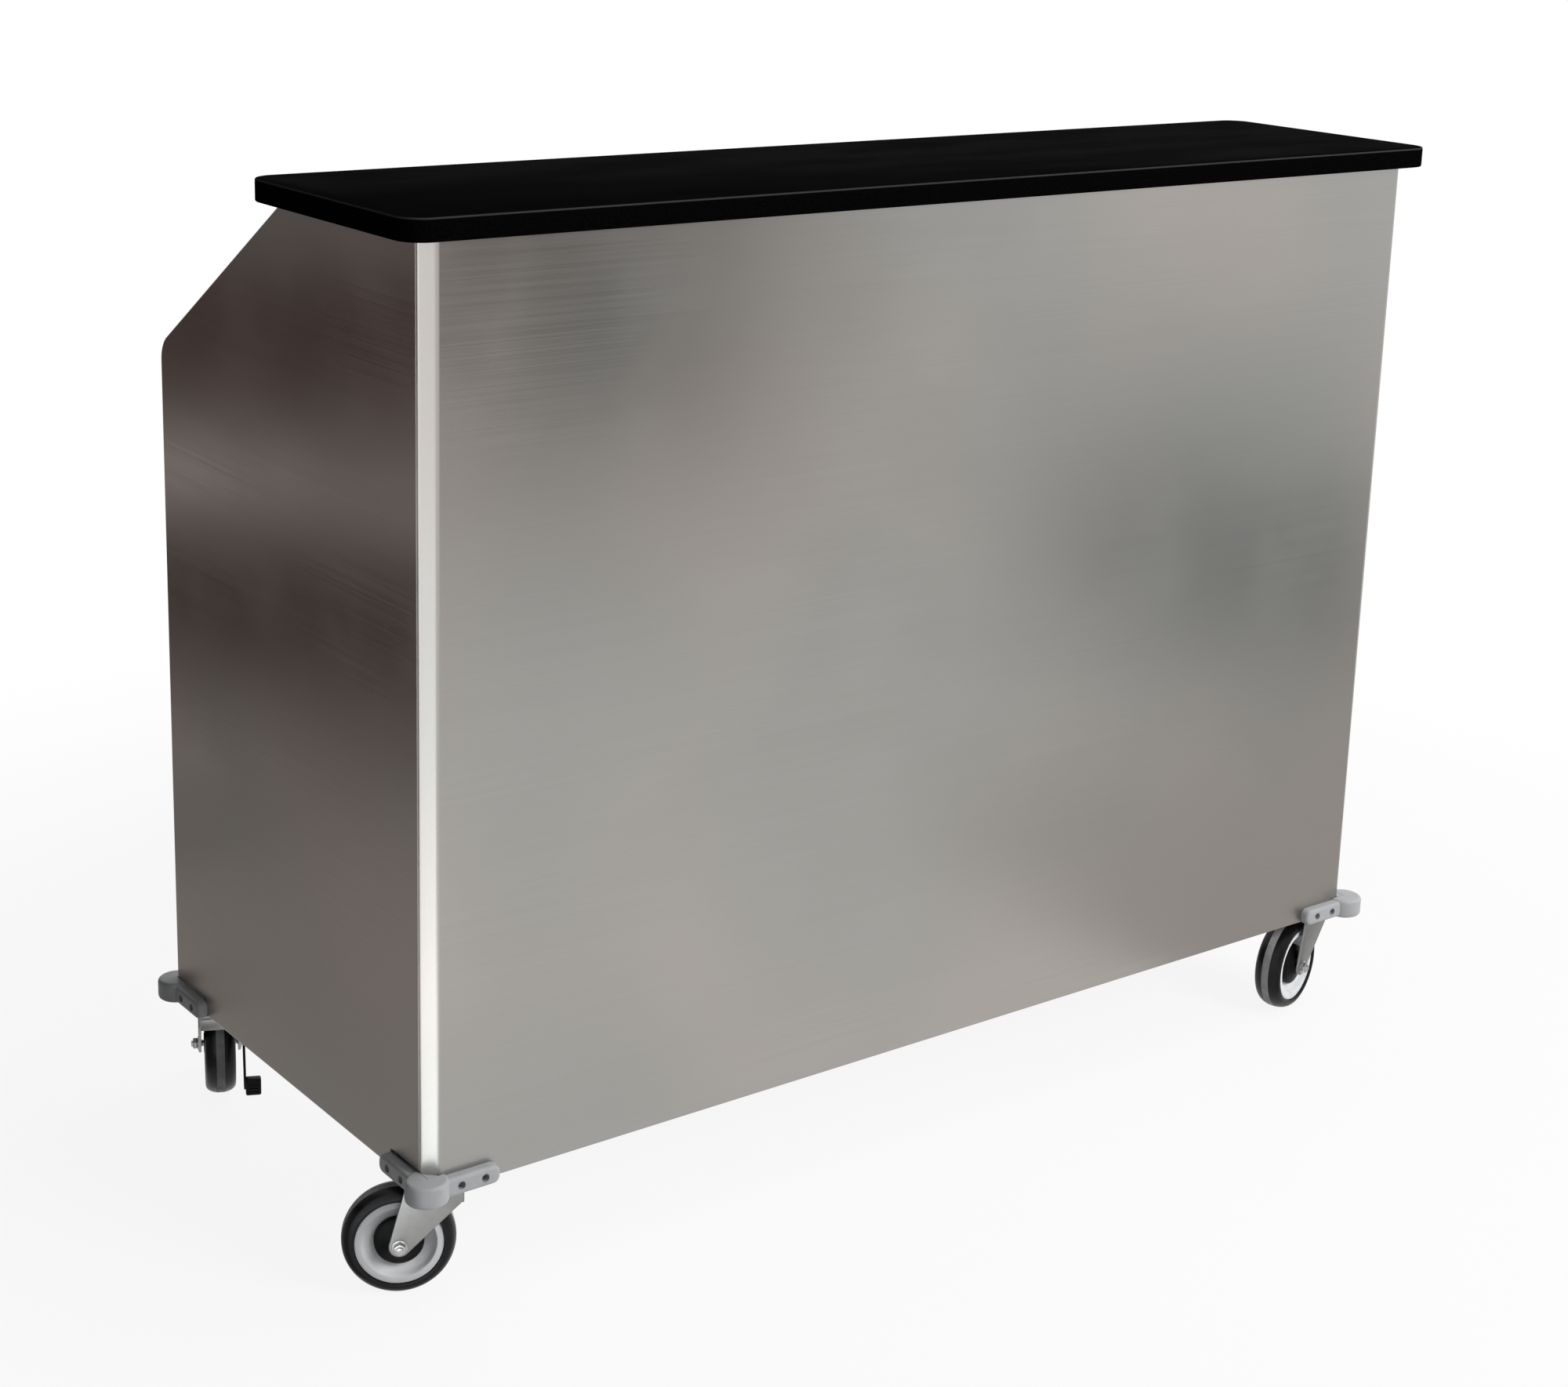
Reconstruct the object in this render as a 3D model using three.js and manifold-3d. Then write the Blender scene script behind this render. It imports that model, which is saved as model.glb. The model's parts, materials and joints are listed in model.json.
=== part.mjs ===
// A folding portable bar on casters: a front panel with a fixed bar top, two end panels that swing in
// on corner hinges, a drop-leaf work shelf behind, and four swivel casters, the rear two with brakes.
// Millimetres, +X to the right seen from the front, +Y to the rear, +Z up, floor at Z = 0.
import * as THREE from "three";
import { mergeVertices } from "three/addons/utils/BufferGeometryUtils.js";
import Module from "manifold-3d";

const wasm = await Module();
wasm.setup();

// Panels
const PANEL_WIDTH = 1468; // front panel over its rolled edges
const PANEL_HEIGHT = 1044; // panel bottom to the underside of the bar top
const FRONT_FACE_Y = -334.5; // the origin is the middle of the footprint, casters included
const FRONT_DEPTH = 30; // skin, frame and liner together
const END_DEPTH = 630; // front face to the rear edge of an end panel
const END_THICKNESS = 25;
const CHAMFER_START = 309; // front face to where the sloping rear edge leaves the top
const CHAMFER_HEIGHT = 834; // panel bottom to where it reaches the rear edge
const CHAMFER_EASE = 18; // how far the blunt rear corner is eased along each edge
const SHEET = 1.5;
const EDGE_RADIUS = 14; // rolled vertical edges of the front skin
const TUBE = 24; // width of the square tubes inside the panels
const FRONT_POSTS = 3; // posts between the two outer ones
const RUN_GAP = 1; // between what swings and what stays
const SEAM = 1.5; // between the front panel and an end panel's front edge
const FIT = 0.3;
const ARC_STEPS = 6; // straight steps in a drawn arc

// Bar top and its arms
const TOP_THICKNESS = 25.4;
const TOP_SIDE_OVERHANG = 28;
const TOP_FRONT_OVERHANG = 18;
const TOP_DEPTH = 356;
const TOP_CORNER_RADIUS = 30;
const ARM_X = 330;
const ARM_WIDTH = 36;
const ARM_FLANGE = 4;
const ARM_SETBACK = 38; // arm tip to the rear edge of the bar top
const ARM_HEIGHT = 36;
const ARM_TIP = 10;
const ARM_FOOT = 90;

// Corner hinges
const KNUCKLE_RADIUS = 6;
const HINGE_PIN_RADIUS = 2.5;
const HINGE_LEAF = 2;
const HINGE_LEAF_WIDTH = 30;
const HINGE_END_MARGIN = 60; // panel end to hinge end
const HINGE_KNUCKLES = 6;
const KNUCKLE_GAP = 1;

// Corner shoes and bumpers
const NOTCH = 81; // how far the skins are cut back at their bottom corners
const SHOE_PLATE = 5;
const SHOE_FLANGE = 3;
const SHOE_END_GAP = 5; // shoe end to the edge of the notch
const SHOE_STRIP = 14;
const SHOE_MARGIN = 2; // shoe plate past the caster race
const BUMPER_LAP = 5; // bumper leg past the notch
const BUMPER_PROUD = 13;
const BUMPER_END_RADIUS = 9;
const BUMPER_LEG_HEIGHT = 22;
const BUMPER_NOSE_RADIUS = 24; // round the panel corner
const BUMPER_NOSE_SIDES = 24;
const BUMPER_HEIGHT = 26;
const BUMPER_DROP = 5; // below the panel bottom
const BUMPER_EDGE = 3;
const BUMPER_HOLE_RADIUS = 4;
const BUMPER_HOLE_SIDES = 8;
const BUMPER_HOLE_SPOTS = [36, 66]; // from the corner, along each leg

// Casters
const WHEEL_RADIUS = 63.5;
const WHEEL_SIDES = 26; // flats round a wheel
const RACE_SIDES = 16;
const TYRE_WIDTH = 38;
const TYRE_SHOULDER = 5;
const RIM_RADIUS = 49.5;
const RIM_LIP = 4;
const RIM_WIDTH = 34;
const RIM_WEB_WIDTH = 18;
const HUB_RADIUS = 28;
const HUB_WIDTH = 40;
const HUB_EDGE_WIDTH = 28;
const WHEEL_TOP_GAP = 0.5; // top of the wheel to the underside of the fork crown ahead of it
const RACE_HEIGHT = 12; // panel bottom to the top of the mounting race
const CASTER_INSET_X = 34; // swivel axis from the outer side face
const CASTER_INSET_Y = 46; // swivel axis from the front face, or from the rear edge
const TRAIL = 38;
const RACE_RADIUS = 28;
const RACE_PLATE = 5;
const RACE_NECK_RADIUS = 16;
const KINGPIN_RADIUS = 6;
const RIVET_RADIUS = 9;
const RIVET_HEIGHT = 3;
const CROWN_GAP = 7.5; // fork crown below the panel bottom
const CROWN_THICKNESS = 5;
const CROWN_AHEAD = 33; // crown and legs ahead of the swivel axis
const CROWN_BEHIND = 12; // crown behind it, short of the wheel
const LEG_THICKNESS = 3.5;
const LEG_SIDE_GAP = 4;
const LEG_BEHIND = 32; // leg top behind the swivel axis
const LEG_FRONT_DROP = 16; // straight part of the leading edge
const LEG_TOE_RADIUS = 12;
const AXLE_RADIUS = 5;
const NUT_RADIUS = 9;
const NUT_HEIGHT = 7;
const NUT_SIDES = 6;
const SWIVEL_DEG = { front_left: 152.6, front_right: 196.5, rear_left: 65.9, rear_right: 332.6 };

// Brake pedals of the rear casters
const BRAKE_PIN_RADIUS = 4;
const BRAKE_BACK = 18; // pivot ahead of the swivel axis
const BRAKE_DROP = 12.5; // pivot below the fork crown
const CAM_RADIUS = 6.5;
const CAM_NOSE_RADIUS = 5;
const CAM_GAP = 0.5;
const CAM_WIDTH = 24;
const PEDAL_ARM = 3;
const PEDAL_ARM_RADIUS = 7;
const PEDAL_ARM_GAP = 0.5;
const PEDAL_REACH = 40; // pivot to the pad, along the floor
const PEDAL_DROP = 66;
const PAD_LENGTH = 12;
const PAD_WIDTH = 18;
const PAD_HEIGHT = 22;

// Work shelf and its supports
const SHELF_END_GAP = 74; // shelf end to an end panel
const SHELF_DEPTH = 400;
const SHELF_THICKNESS = 12;
const SHELF_PIVOT_RISE = 760; // pivot above the panel bottom
const SHELF_PIVOT_BACK = 19; // pivot behind the liner of the front panel
const SHELF_EDGE_GAP = 2; // between the knuckles and the board
const SHELF_KNUCKLE_RADIUS = 8;
const SHELF_PIN_RADIUS = 3.5;
const LEDGER_INSET = 35; // shelf end to ledger end
const LEDGER_PLATE = 3;
const LEDGER_HEIGHT = 50;
const LUG_LENGTH = 60;
const LUG_INSET = 100; // ledger end to the middle of the end lugs
const LEAF_STRIP = 40;
const SUPPORT_BACK = 240; // support pivot behind the front face
const SUPPORT_REACH = 200;
const SUPPORT_HEIGHT = 60;
const SUPPORT_TIP = 22;
const SUPPORT_THICKNESS = 10;
const SUPPORT_SLEEVE_RADIUS = 7.5;
const SUPPORT_LUG = 12;
const SUPPORT_LUG_GAP = 1;
const SUPPORT_PLATE = 3;
const SUPPORT_PLATE_WIDTH = 44;
const SUPPORT_REST_GAP = 0.5; // below the raised shelf

// Places worked out from the sizes above
const HALF_WIDTH = PANEL_WIDTH / 2;
const CROWN_BOTTOM = 2 * WHEEL_RADIUS + WHEEL_TOP_GAP;
const CROWN_TOP = CROWN_BOTTOM + CROWN_THICKNESS;
const PANEL_BOTTOM = CROWN_TOP + CROWN_GAP;
const CASTER_HEIGHT = PANEL_BOTTOM + RACE_HEIGHT;
const PANEL_TOP = PANEL_BOTTOM + PANEL_HEIGHT;
const FRONT_BACK_Y = FRONT_FACE_Y + FRONT_DEPTH;
const LINER_Y = FRONT_BACK_Y - SHEET;
const REAR_Y = FRONT_FACE_Y + END_DEPTH;
const EDGE_BACK_Y = FRONT_FACE_Y + EDGE_RADIUS + SHEET;
const END_FRONT_Y = EDGE_BACK_Y + SEAM;
const END_TOP = PANEL_TOP - RUN_GAP;
const END_INNER_X = HALF_WIDTH - END_THICKNESS;
const FRONT_SIDE_X = END_INNER_X - SEAM;
const SHOE_TOP = CASTER_HEIGHT + SHOE_PLATE;
const BUMPER_BOTTOM = PANEL_BOTTOM - BUMPER_DROP;
const END_BASE = BUMPER_BOTTOM + BUMPER_HEIGHT + RUN_GAP;
const SHOE_LENGTH = NOTCH - SHOE_END_GAP;
const BUMPER_LEG = NOTCH + BUMPER_LAP;
const BRAKE_HEIGHT = CROWN_BOTTOM - BRAKE_DROP;
const TOP_REAR_Y = FRONT_FACE_Y - TOP_FRONT_OVERHANG + TOP_DEPTH;
const HINGE_X = END_INNER_X - KNUCKLE_RADIUS - FIT;
const HINGE_Y = FRONT_BACK_Y + KNUCKLE_RADIUS + FIT;
const HINGE_BOTTOM = END_BASE + HINGE_END_MARGIN;
const HINGE_TOP = END_TOP - HINGE_END_MARGIN;
const LEG_INNER = TYRE_WIDTH / 2 + LEG_SIDE_GAP;
const LEG_OUTER = LEG_INNER + LEG_THICKNESS;
const SHELF_PIVOT_Y = FRONT_BACK_Y + SHELF_PIVOT_BACK;
const SHELF_PIVOT_HEIGHT = PANEL_BOTTOM + SHELF_PIVOT_RISE;
const SHELF_WIDTH = 2 * (END_INNER_X - SHELF_END_GAP);
const LEDGER_LENGTH = SHELF_WIDTH - 2 * LEDGER_INSET;
const LUG_SPOTS = [-1, 0, 1].map((side) => side * (LEDGER_LENGTH / 2 - LUG_INSET));
const SUPPORT_X = END_INNER_X - SUPPORT_PLATE - SUPPORT_SLEEVE_RADIUS - FIT;
const SUPPORT_Y = FRONT_FACE_Y + SUPPORT_BACK;
const SUPPORT_TOP = SHELF_PIVOT_HEIGHT - SHELF_THICKNESS / 2 - SUPPORT_REST_GAP;

function finish(color, roughness, metalness) {
  return new THREE.MeshStandardMaterial({ color, roughness, metalness });
}

const stainless = finish(0x9a9793, 0.35, 1);
const galvanised = finish(0x8b8d8f, 0.45, 1);
const chrome = finish(0xc8cacc, 0.15, 1);
const blackLaminate = finish(0x0a0a0b, 0.35, 0);
const greyPlastic = finish(0x94979a, 0.5, 0);
const paleRim = finish(0xb4b7ba, 0.45, 0);
const blackPlastic = finish(0x17181a, 0.5, 0);
const rubber = finish(0x141416, 0.75, 0);

// Solids: closed meshes as joinable bodies, and back again.
function body(geometry) {
  const bare = geometry.index ? geometry.toNonIndexed() : geometry.clone();
  bare.deleteAttribute("normal");
  bare.deleteAttribute("uv");
  const merged = mergeVertices(bare, 1e-4);
  const vertProperties = merged.getAttribute("position").array;
  const triVerts = new Uint32Array(merged.index.array);
  return new wasm.Manifold(new wasm.Mesh({ numProp: 3, vertProperties, triVerts }));
}

function geometryOf(solid) {
  const mesh = solid.getMesh();
  const geometry = new THREE.BufferGeometry();
  geometry.setAttribute("position", new THREE.BufferAttribute(mesh.vertProperties, 3));
  geometry.setIndex(new THREE.BufferAttribute(mesh.triVerts, 1));
  const flat = geometry.toNonIndexed();
  flat.computeVertexNormals();
  return flat;
}

function joined(...geometries) {
  return geometryOf(geometries.map(body).reduce((sum, next) => sum.add(next)));
}

function cut(geometry, ...tools) {
  return geometryOf(tools.map(body).reduce((rest, tool) => rest.subtract(tool), body(geometry)));
}

function box(x, y, z) {
  const [x0, x1] = x;
  const [y0, y1] = y;
  const [z0, z1] = z;
  const geometry = new THREE.BoxGeometry(x1 - x0, y1 - y0, z1 - z0);
  return geometry.translate((x0 + x1) / 2, (y0 + y1) / 2, (z0 + z1) / 2);
}

// A plan outline standing up from z0 to z1.
function upright(shape, z0, z1) {
  const options = { depth: z1 - z0, bevelEnabled: false, curveSegments: ARC_STEPS };
  return new THREE.ExtrudeGeometry(shape, options).translate(0, 0, z0);
}

// An outline drawn in Y and Z, run along X from x0 to x1.
function alongX(shape, x0, x1) {
  const options = { depth: x1 - x0, bevelEnabled: false, curveSegments: ARC_STEPS };
  const geometry = new THREE.ExtrudeGeometry(shape, options);
  const turn = new THREE.Matrix4().set(0, 0, 1, x0, 1, 0, 0, 0, 0, 1, 0, 0, 0, 0, 0, 1);
  return geometry.applyMatrix4(turn);
}

// An outline drawn in X and Z, run along Y from y0 to y1.
function alongY(shape, y0, y1) {
  const options = { depth: y1 - y0, bevelEnabled: false, curveSegments: ARC_STEPS };
  return new THREE.ExtrudeGeometry(shape, options).rotateX(Math.PI / 2).translate(0, y1, 0);
}

function rodX(radius, x0, x1, y, z, sides = 10) {
  const geometry = new THREE.CylinderGeometry(radius, radius, x1 - x0, sides);
  return geometry.rotateZ(Math.PI / 2).translate((x0 + x1) / 2, y, z);
}

function rodY(radius, y0, y1, x, z, sides = 10) {
  const geometry = new THREE.CylinderGeometry(radius, radius, y1 - y0, sides);
  return geometry.translate(x, (y0 + y1) / 2, z);
}

function rodZ(radius, z0, z1, x, y, sides = 10) {
  const geometry = new THREE.CylinderGeometry(radius, radius, z1 - z0, sides);
  return geometry.rotateX(Math.PI / 2).translate(x, y, (z0 + z1) / 2);
}

function polygon(points) {
  return new THREE.Shape(points.map(([a, b]) => new THREE.Vector2(a, b)));
}

function mirrored(geometry, axis) {
  const scale = new THREE.Vector3(1, 1, 1).setComponent(axis, -1);
  const flipped = geometry.index ? geometry.toNonIndexed() : geometry.clone();
  flipped.scale(scale.x, scale.y, scale.z);
  const position = flipped.getAttribute("position");
  for (let i = 0; i < position.count; i += 3) {
    const second = new THREE.Vector3().fromBufferAttribute(position, i + 1);
    const third = new THREE.Vector3().fromBufferAttribute(position, i + 2);
    position.setXYZ(i + 1, ...third.toArray());
    position.setXYZ(i + 2, ...second.toArray());
  }
  flipped.computeVertexNormals();
  return flipped;
}

const bar = new THREE.Group();

function add(name, geometry, material, parent = bar) {
  const mesh = new THREE.Mesh(geometry, material);
  mesh.name = name;
  parent.add(mesh);
  return mesh;
}

// Bar top: one laminated board with round corners, overhanging the panels.
function barTop() {
  const x = HALF_WIDTH + TOP_SIDE_OVERHANG;
  const y0 = TOP_REAR_Y - TOP_DEPTH;
  const y1 = TOP_REAR_Y;
  const r = TOP_CORNER_RADIUS;
  const shape = new THREE.Shape();
  shape.absarc(x - r, y0 + r, r, -Math.PI / 2, 0);
  shape.absarc(x - r, y1 - r, r, 0, Math.PI / 2);
  shape.absarc(-x + r, y1 - r, r, Math.PI / 2, Math.PI);
  shape.absarc(-x + r, y0 + r, r, Math.PI, Math.PI * 1.5);
  return upright(shape, PANEL_TOP, PANEL_TOP + TOP_THICKNESS);
}

// Top arm: a folded steel gusset with a flange under the board and a foot on the liner.
function topArm(x) {
  const y0 = FRONT_BACK_Y;
  const y1 = TOP_REAR_Y - ARM_SETBACK;
  const half = ARM_WIDTH / 2;
  const inside = y0 + ARM_FLANGE;
  const web = polygon([
    [y0, PANEL_TOP - ARM_FOOT],
    [inside, PANEL_TOP - ARM_FOOT],
    [inside + ARM_FLANGE, PANEL_TOP - ARM_HEIGHT],
    [y1, PANEL_TOP - ARM_TIP],
    [y1, PANEL_TOP],
    [y0, PANEL_TOP],
  ]);
  return joined(
    alongX(web, x - ARM_FLANGE / 2, x + ARM_FLANGE / 2),
    box([x - half, x + half], [y0, y1], [PANEL_TOP - ARM_FLANGE, PANEL_TOP]),
    box([x - half, x + half], [y0, inside], [PANEL_TOP - ARM_FOOT, PANEL_TOP]),
  );
}

// Front skin: one sheet, rolled round both vertical edges and folded back between the end panels.
function frontSkin() {
  const x = HALF_WIDTH;
  const side = FRONT_SIDE_X;
  const y0 = FRONT_FACE_Y;
  const r = EDGE_RADIUS;
  const inner = r - SHEET;
  const shape = new THREE.Shape();
  shape.moveTo(side, LINER_Y);
  shape.lineTo(side - SHEET, LINER_Y);
  shape.lineTo(side - SHEET, y0 + r);
  shape.absarc(x - r, y0 + r, inner, 0, -Math.PI / 2, true);
  shape.absarc(-x + r, y0 + r, inner, -Math.PI / 2, -Math.PI, true);
  shape.lineTo(-side + SHEET, y0 + r);
  shape.lineTo(-side + SHEET, LINER_Y);
  shape.lineTo(-side, LINER_Y);
  shape.lineTo(-side, EDGE_BACK_Y);
  shape.lineTo(-x, EDGE_BACK_Y);
  shape.absarc(-x + r, y0 + r, r, -Math.PI, -Math.PI / 2);
  shape.absarc(x - r, y0 + r, r, -Math.PI / 2, 0);
  shape.lineTo(x, EDGE_BACK_Y);
  shape.lineTo(side, EDGE_BACK_Y);
  const depth = [y0 - SHEET, FRONT_BACK_Y];
  const height = [PANEL_BOTTOM - SHEET, SHOE_TOP];
  const notches = [
    box([-x - SHEET, -x + NOTCH], depth, height),
    box([x - NOTCH, x + SHEET], depth, height),
  ];
  return cut(upright(shape, PANEL_BOTTOM, PANEL_TOP), ...notches);
}

// Front frame: square tubes welded into a grid that fills the space behind the skin.
function frontFrame() {
  const half = FRONT_SIDE_X - SHEET;
  const grid = box([-half, half], [FRONT_FACE_Y + SHEET, LINER_Y], [SHOE_TOP, PANEL_TOP]);
  const bays = FRONT_POSTS + 1;
  const bay = (2 * half - TUBE) / bays;
  const openings = [];
  for (let i = 0; i < bays; i += 1) {
    const left = -half + TUBE + i * bay;
    const height = [SHOE_TOP + TUBE, PANEL_TOP - TUBE];
    openings.push(box([left, left + bay - TUBE], [FRONT_FACE_Y, FRONT_BACK_Y], height));
  }
  return cut(grid, ...openings);
}

function frontLiner() {
  return box([-FRONT_SIDE_X, FRONT_SIDE_X], [LINER_Y, FRONT_BACK_Y], [SHOE_TOP, PANEL_TOP]);
}

// Outline of an end panel in Y and Z, drawn in by a margin, from a given base height, with the blunt
// rear corner eased.
function endOutline(margin, base, ease = CHAMFER_EASE) {
  const slopeY = REAR_Y - (FRONT_FACE_Y + CHAMFER_START);
  const slopeZ = END_TOP - (PANEL_BOTTOM + CHAMFER_HEIGHT);
  const length = Math.hypot(slopeY, slopeZ);
  const normalY = slopeZ / length;
  const normalZ = slopeY / length;
  const reach = normalY * REAR_Y + normalZ * (PANEL_BOTTOM + CHAMFER_HEIGHT) - margin;
  const rear = REAR_Y - margin;
  const top = END_TOP - margin;
  const blunt = (reach - normalY * rear) / normalZ;
  const below = [rear, blunt - ease];
  const above = [rear - ease * normalZ, blunt + ease * normalY];
  const middle = [(2 * rear + below[0] + above[0]) / 4, (2 * blunt + below[1] + above[1]) / 4];
  const bend = ease > 0 ? [below, middle, above] : [[rear, blunt]];
  return [
    [END_FRONT_Y + margin, base],
    [rear, base],
    ...bend,
    [(reach - normalZ * top) / normalY, top],
    [END_FRONT_Y + margin, top],
  ];
}

// The left end panel's pieces are drawn on the left, and the right ones are their mirror images.
function endSkin() {
  const liner = -END_INNER_X - SHEET;
  const shell = alongX(polygon(endOutline(0, PANEL_BOTTOM)), -HALF_WIDTH, liner);
  const hollow = polygon(endOutline(SHEET, PANEL_BOTTOM + SHEET));
  const width = [-HALF_WIDTH - SHEET, liner + SHEET];
  const height = [PANEL_BOTTOM - SHEET, END_BASE];
  const front = box(width, [END_FRONT_Y - SHEET, FRONT_FACE_Y + NOTCH], height);
  const rear = box(width, [REAR_Y - NOTCH, REAR_Y + SHEET], height);
  return cut(shell, alongX(hollow, -HALF_WIDTH + SHEET, liner + SHEET), front, rear);
}

function endFrame() {
  const outer = -HALF_WIDTH + SHEET;
  const inner = -END_INNER_X - SHEET;
  const rail = PANEL_BOTTOM + CHAMFER_HEIGHT - TUBE;
  const depth = [END_FRONT_Y + SHEET + TUBE, REAR_Y - SHEET - TUBE];
  const grid = alongX(polygon(endOutline(SHEET, END_BASE)), outer, inner);
  const upper = alongX(polygon(endOutline(SHEET + TUBE, rail, 0)), outer - SHEET, inner + SHEET);
  const lower = box([outer - SHEET, inner + SHEET], depth, [END_BASE + TUBE, rail - TUBE]);
  return cut(grid, upper, lower);
}

function endLiner() {
  return alongX(polygon(endOutline(0, END_BASE)), -END_INNER_X - SHEET, -END_INNER_X);
}

// Continuous corner hinge: two leaves with alternate knuckles, and the pin.
function knuckleSpan(index) {
  const pitch = (HINGE_TOP - HINGE_BOTTOM) / HINGE_KNUCKLES;
  const bottom = HINGE_BOTTOM + index * pitch;
  return [bottom + KNUCKLE_GAP / 2, bottom + pitch - KNUCKLE_GAP / 2];
}

function hingeLeaf(first, strip) {
  const knuckles = [];
  const gaps = [];
  for (let i = 0; i < HINGE_KNUCKLES; i += 1) {
    const [low, high] = knuckleSpan(i);
    const isOwn = i % 2 === first;
    const gapRadius = KNUCKLE_RADIUS + KNUCKLE_GAP / 2;
    if (isOwn) knuckles.push(rodZ(KNUCKLE_RADIUS, low, high, -HINGE_X, HINGE_Y));
    else gaps.push(rodZ(gapRadius, low - KNUCKLE_GAP, high + KNUCKLE_GAP, -HINGE_X, HINGE_Y));
  }
  const bore = rodZ(HINGE_PIN_RADIUS + FIT, HINGE_BOTTOM - SEAM, HINGE_TOP + SEAM, -HINGE_X, HINGE_Y);
  return cut(joined(cut(strip, ...gaps), ...knuckles), bore);
}

function hingeFrontLeaf() {
  const x0 = -HINGE_X - KNUCKLE_RADIUS / 2;
  const depth = [FRONT_BACK_Y, FRONT_BACK_Y + HINGE_LEAF];
  return hingeLeaf(0, box([x0, -HINGE_X + HINGE_LEAF_WIDTH], depth, [HINGE_BOTTOM, HINGE_TOP]));
}

function hingeEndLeaf() {
  const y0 = HINGE_Y - KNUCKLE_RADIUS / 2;
  const width = [-END_INNER_X, -END_INNER_X + HINGE_LEAF];
  return hingeLeaf(1, box(width, [y0, HINGE_Y + HINGE_LEAF_WIDTH], [HINGE_BOTTOM, HINGE_TOP]));
}

function hingePin() {
  return rodZ(HINGE_PIN_RADIUS, HINGE_BOTTOM, HINGE_TOP, -HINGE_X, HINGE_Y);
}

// A corner's pieces are drawn at the front left, with the corner itself at the plan origin.
function cornerShoe(plateTop) {
  const round = RACE_RADIUS + SHOE_MARGIN;
  const shape = new THREE.Shape();
  shape.moveTo(0, 0);
  shape.lineTo(SHOE_LENGTH, 0);
  shape.lineTo(SHOE_LENGTH, SHOE_STRIP);
  shape.absarc(CASTER_INSET_X, CASTER_INSET_Y, round, -Math.PI / 4, Math.PI * 0.75);
  shape.lineTo(SHOE_STRIP, SHOE_LENGTH);
  shape.lineTo(0, SHOE_LENGTH);
  const height = [PANEL_BOTTOM, plateTop];
  return joined(
    upright(shape, CASTER_HEIGHT, plateTop),
    box([0, SHOE_LENGTH], [0, SHOE_FLANGE], height),
    box([0, SHOE_FLANGE], [0, SHOE_LENGTH], height),
  );
}

function bumper() {
  const p = BUMPER_PROUD;
  const r = BUMPER_END_RADIUS;
  const edge = BUMPER_EDGE;
  const shape = new THREE.Shape();
  shape.moveTo(-FIT, -FIT);
  shape.lineTo(-FIT, BUMPER_LEG);
  shape.absarc(-p + r, BUMPER_LEG - r, r, Math.PI / 2, Math.PI);
  shape.lineTo(-p, -p);
  shape.absarc(BUMPER_LEG - r, -p + r, r, -Math.PI / 2, 0);
  shape.lineTo(BUMPER_LEG, -FIT);
  const options = {
    depth: BUMPER_LEG_HEIGHT - 2 * edge,
    curveSegments: ARC_STEPS,
    bevelSegments: 1,
    bevelThickness: edge,
    bevelSize: edge,
    bevelOffset: -edge,
  };
  const middle = BUMPER_BOTTOM + BUMPER_HEIGHT / 2;
  const bottom = middle - BUMPER_LEG_HEIGHT / 2;
  const top = BUMPER_BOTTOM + BUMPER_HEIGHT;
  const legs = new THREE.ExtrudeGeometry(shape, options).translate(0, 0, bottom + edge);
  const nose = rodZ(BUMPER_NOSE_RADIUS, BUMPER_BOTTOM, top, 0, 0, BUMPER_NOSE_SIDES);
  const panel = box([-FIT, BUMPER_LEG], [-FIT, BUMPER_LEG], [BUMPER_BOTTOM - edge, top + edge]);
  const holes = BUMPER_HOLE_SPOTS.flatMap((spot) => [
    rodY(BUMPER_HOLE_RADIUS, -2 * p, p, spot, middle, BUMPER_HOLE_SIDES),
    rodX(BUMPER_HOLE_RADIUS, -2 * p, p, spot, middle, BUMPER_HOLE_SIDES),
  ]);
  return cut(joined(legs, nose), panel, ...holes);
}

// Caster pieces, drawn with the swivel axis on Z and the wheel trailing along +X.
function lathe(points, sides) {
  const profile = points.map(([radius, height]) => new THREE.Vector2(radius, height));
  return new THREE.LatheGeometry(profile, sides);
}

function casterRace() {
  const neckBottom = CROWN_TOP + FIT;
  const rivetTop = CROWN_BOTTOM - FIT;
  const profile = [
    [0, rivetTop - RIVET_HEIGHT],
    [RIVET_RADIUS, rivetTop - RIVET_HEIGHT],
    [RIVET_RADIUS, rivetTop],
    [KINGPIN_RADIUS, rivetTop],
    [KINGPIN_RADIUS, neckBottom],
    [RACE_NECK_RADIUS, neckBottom],
    [RACE_NECK_RADIUS, CASTER_HEIGHT - RACE_PLATE],
    [RACE_RADIUS, CASTER_HEIGHT - RACE_PLATE],
    [RACE_RADIUS, CASTER_HEIGHT],
    [0, CASTER_HEIGHT],
  ];
  return lathe(profile, RACE_SIDES).rotateX(Math.PI / 2);
}

// Angle on the leg's round toe where the straight edge from a point meets it.
function toeAngle(x, z, side) {
  const away = new THREE.Vector2(x - TRAIL, z - WHEEL_RADIUS);
  return Math.atan2(away.y, away.x) + side * Math.acos(LEG_TOE_RADIUS / away.length());
}

function forkLeg(y0) {
  const shoulder = CROWN_TOP - LEG_FRONT_DROP;
  const start = toeAngle(-CROWN_AHEAD, shoulder, 1);
  const end = toeAngle(LEG_BEHIND, CROWN_TOP, -1) + 2 * Math.PI;
  const shape = new THREE.Shape();
  shape.moveTo(LEG_BEHIND, CROWN_TOP);
  shape.lineTo(-CROWN_AHEAD, CROWN_TOP);
  shape.lineTo(-CROWN_AHEAD, shoulder);
  shape.absarc(TRAIL, WHEEL_RADIUS, LEG_TOE_RADIUS, start, end);
  return alongY(shape, y0, y0 + LEG_THICKNESS);
}

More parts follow.
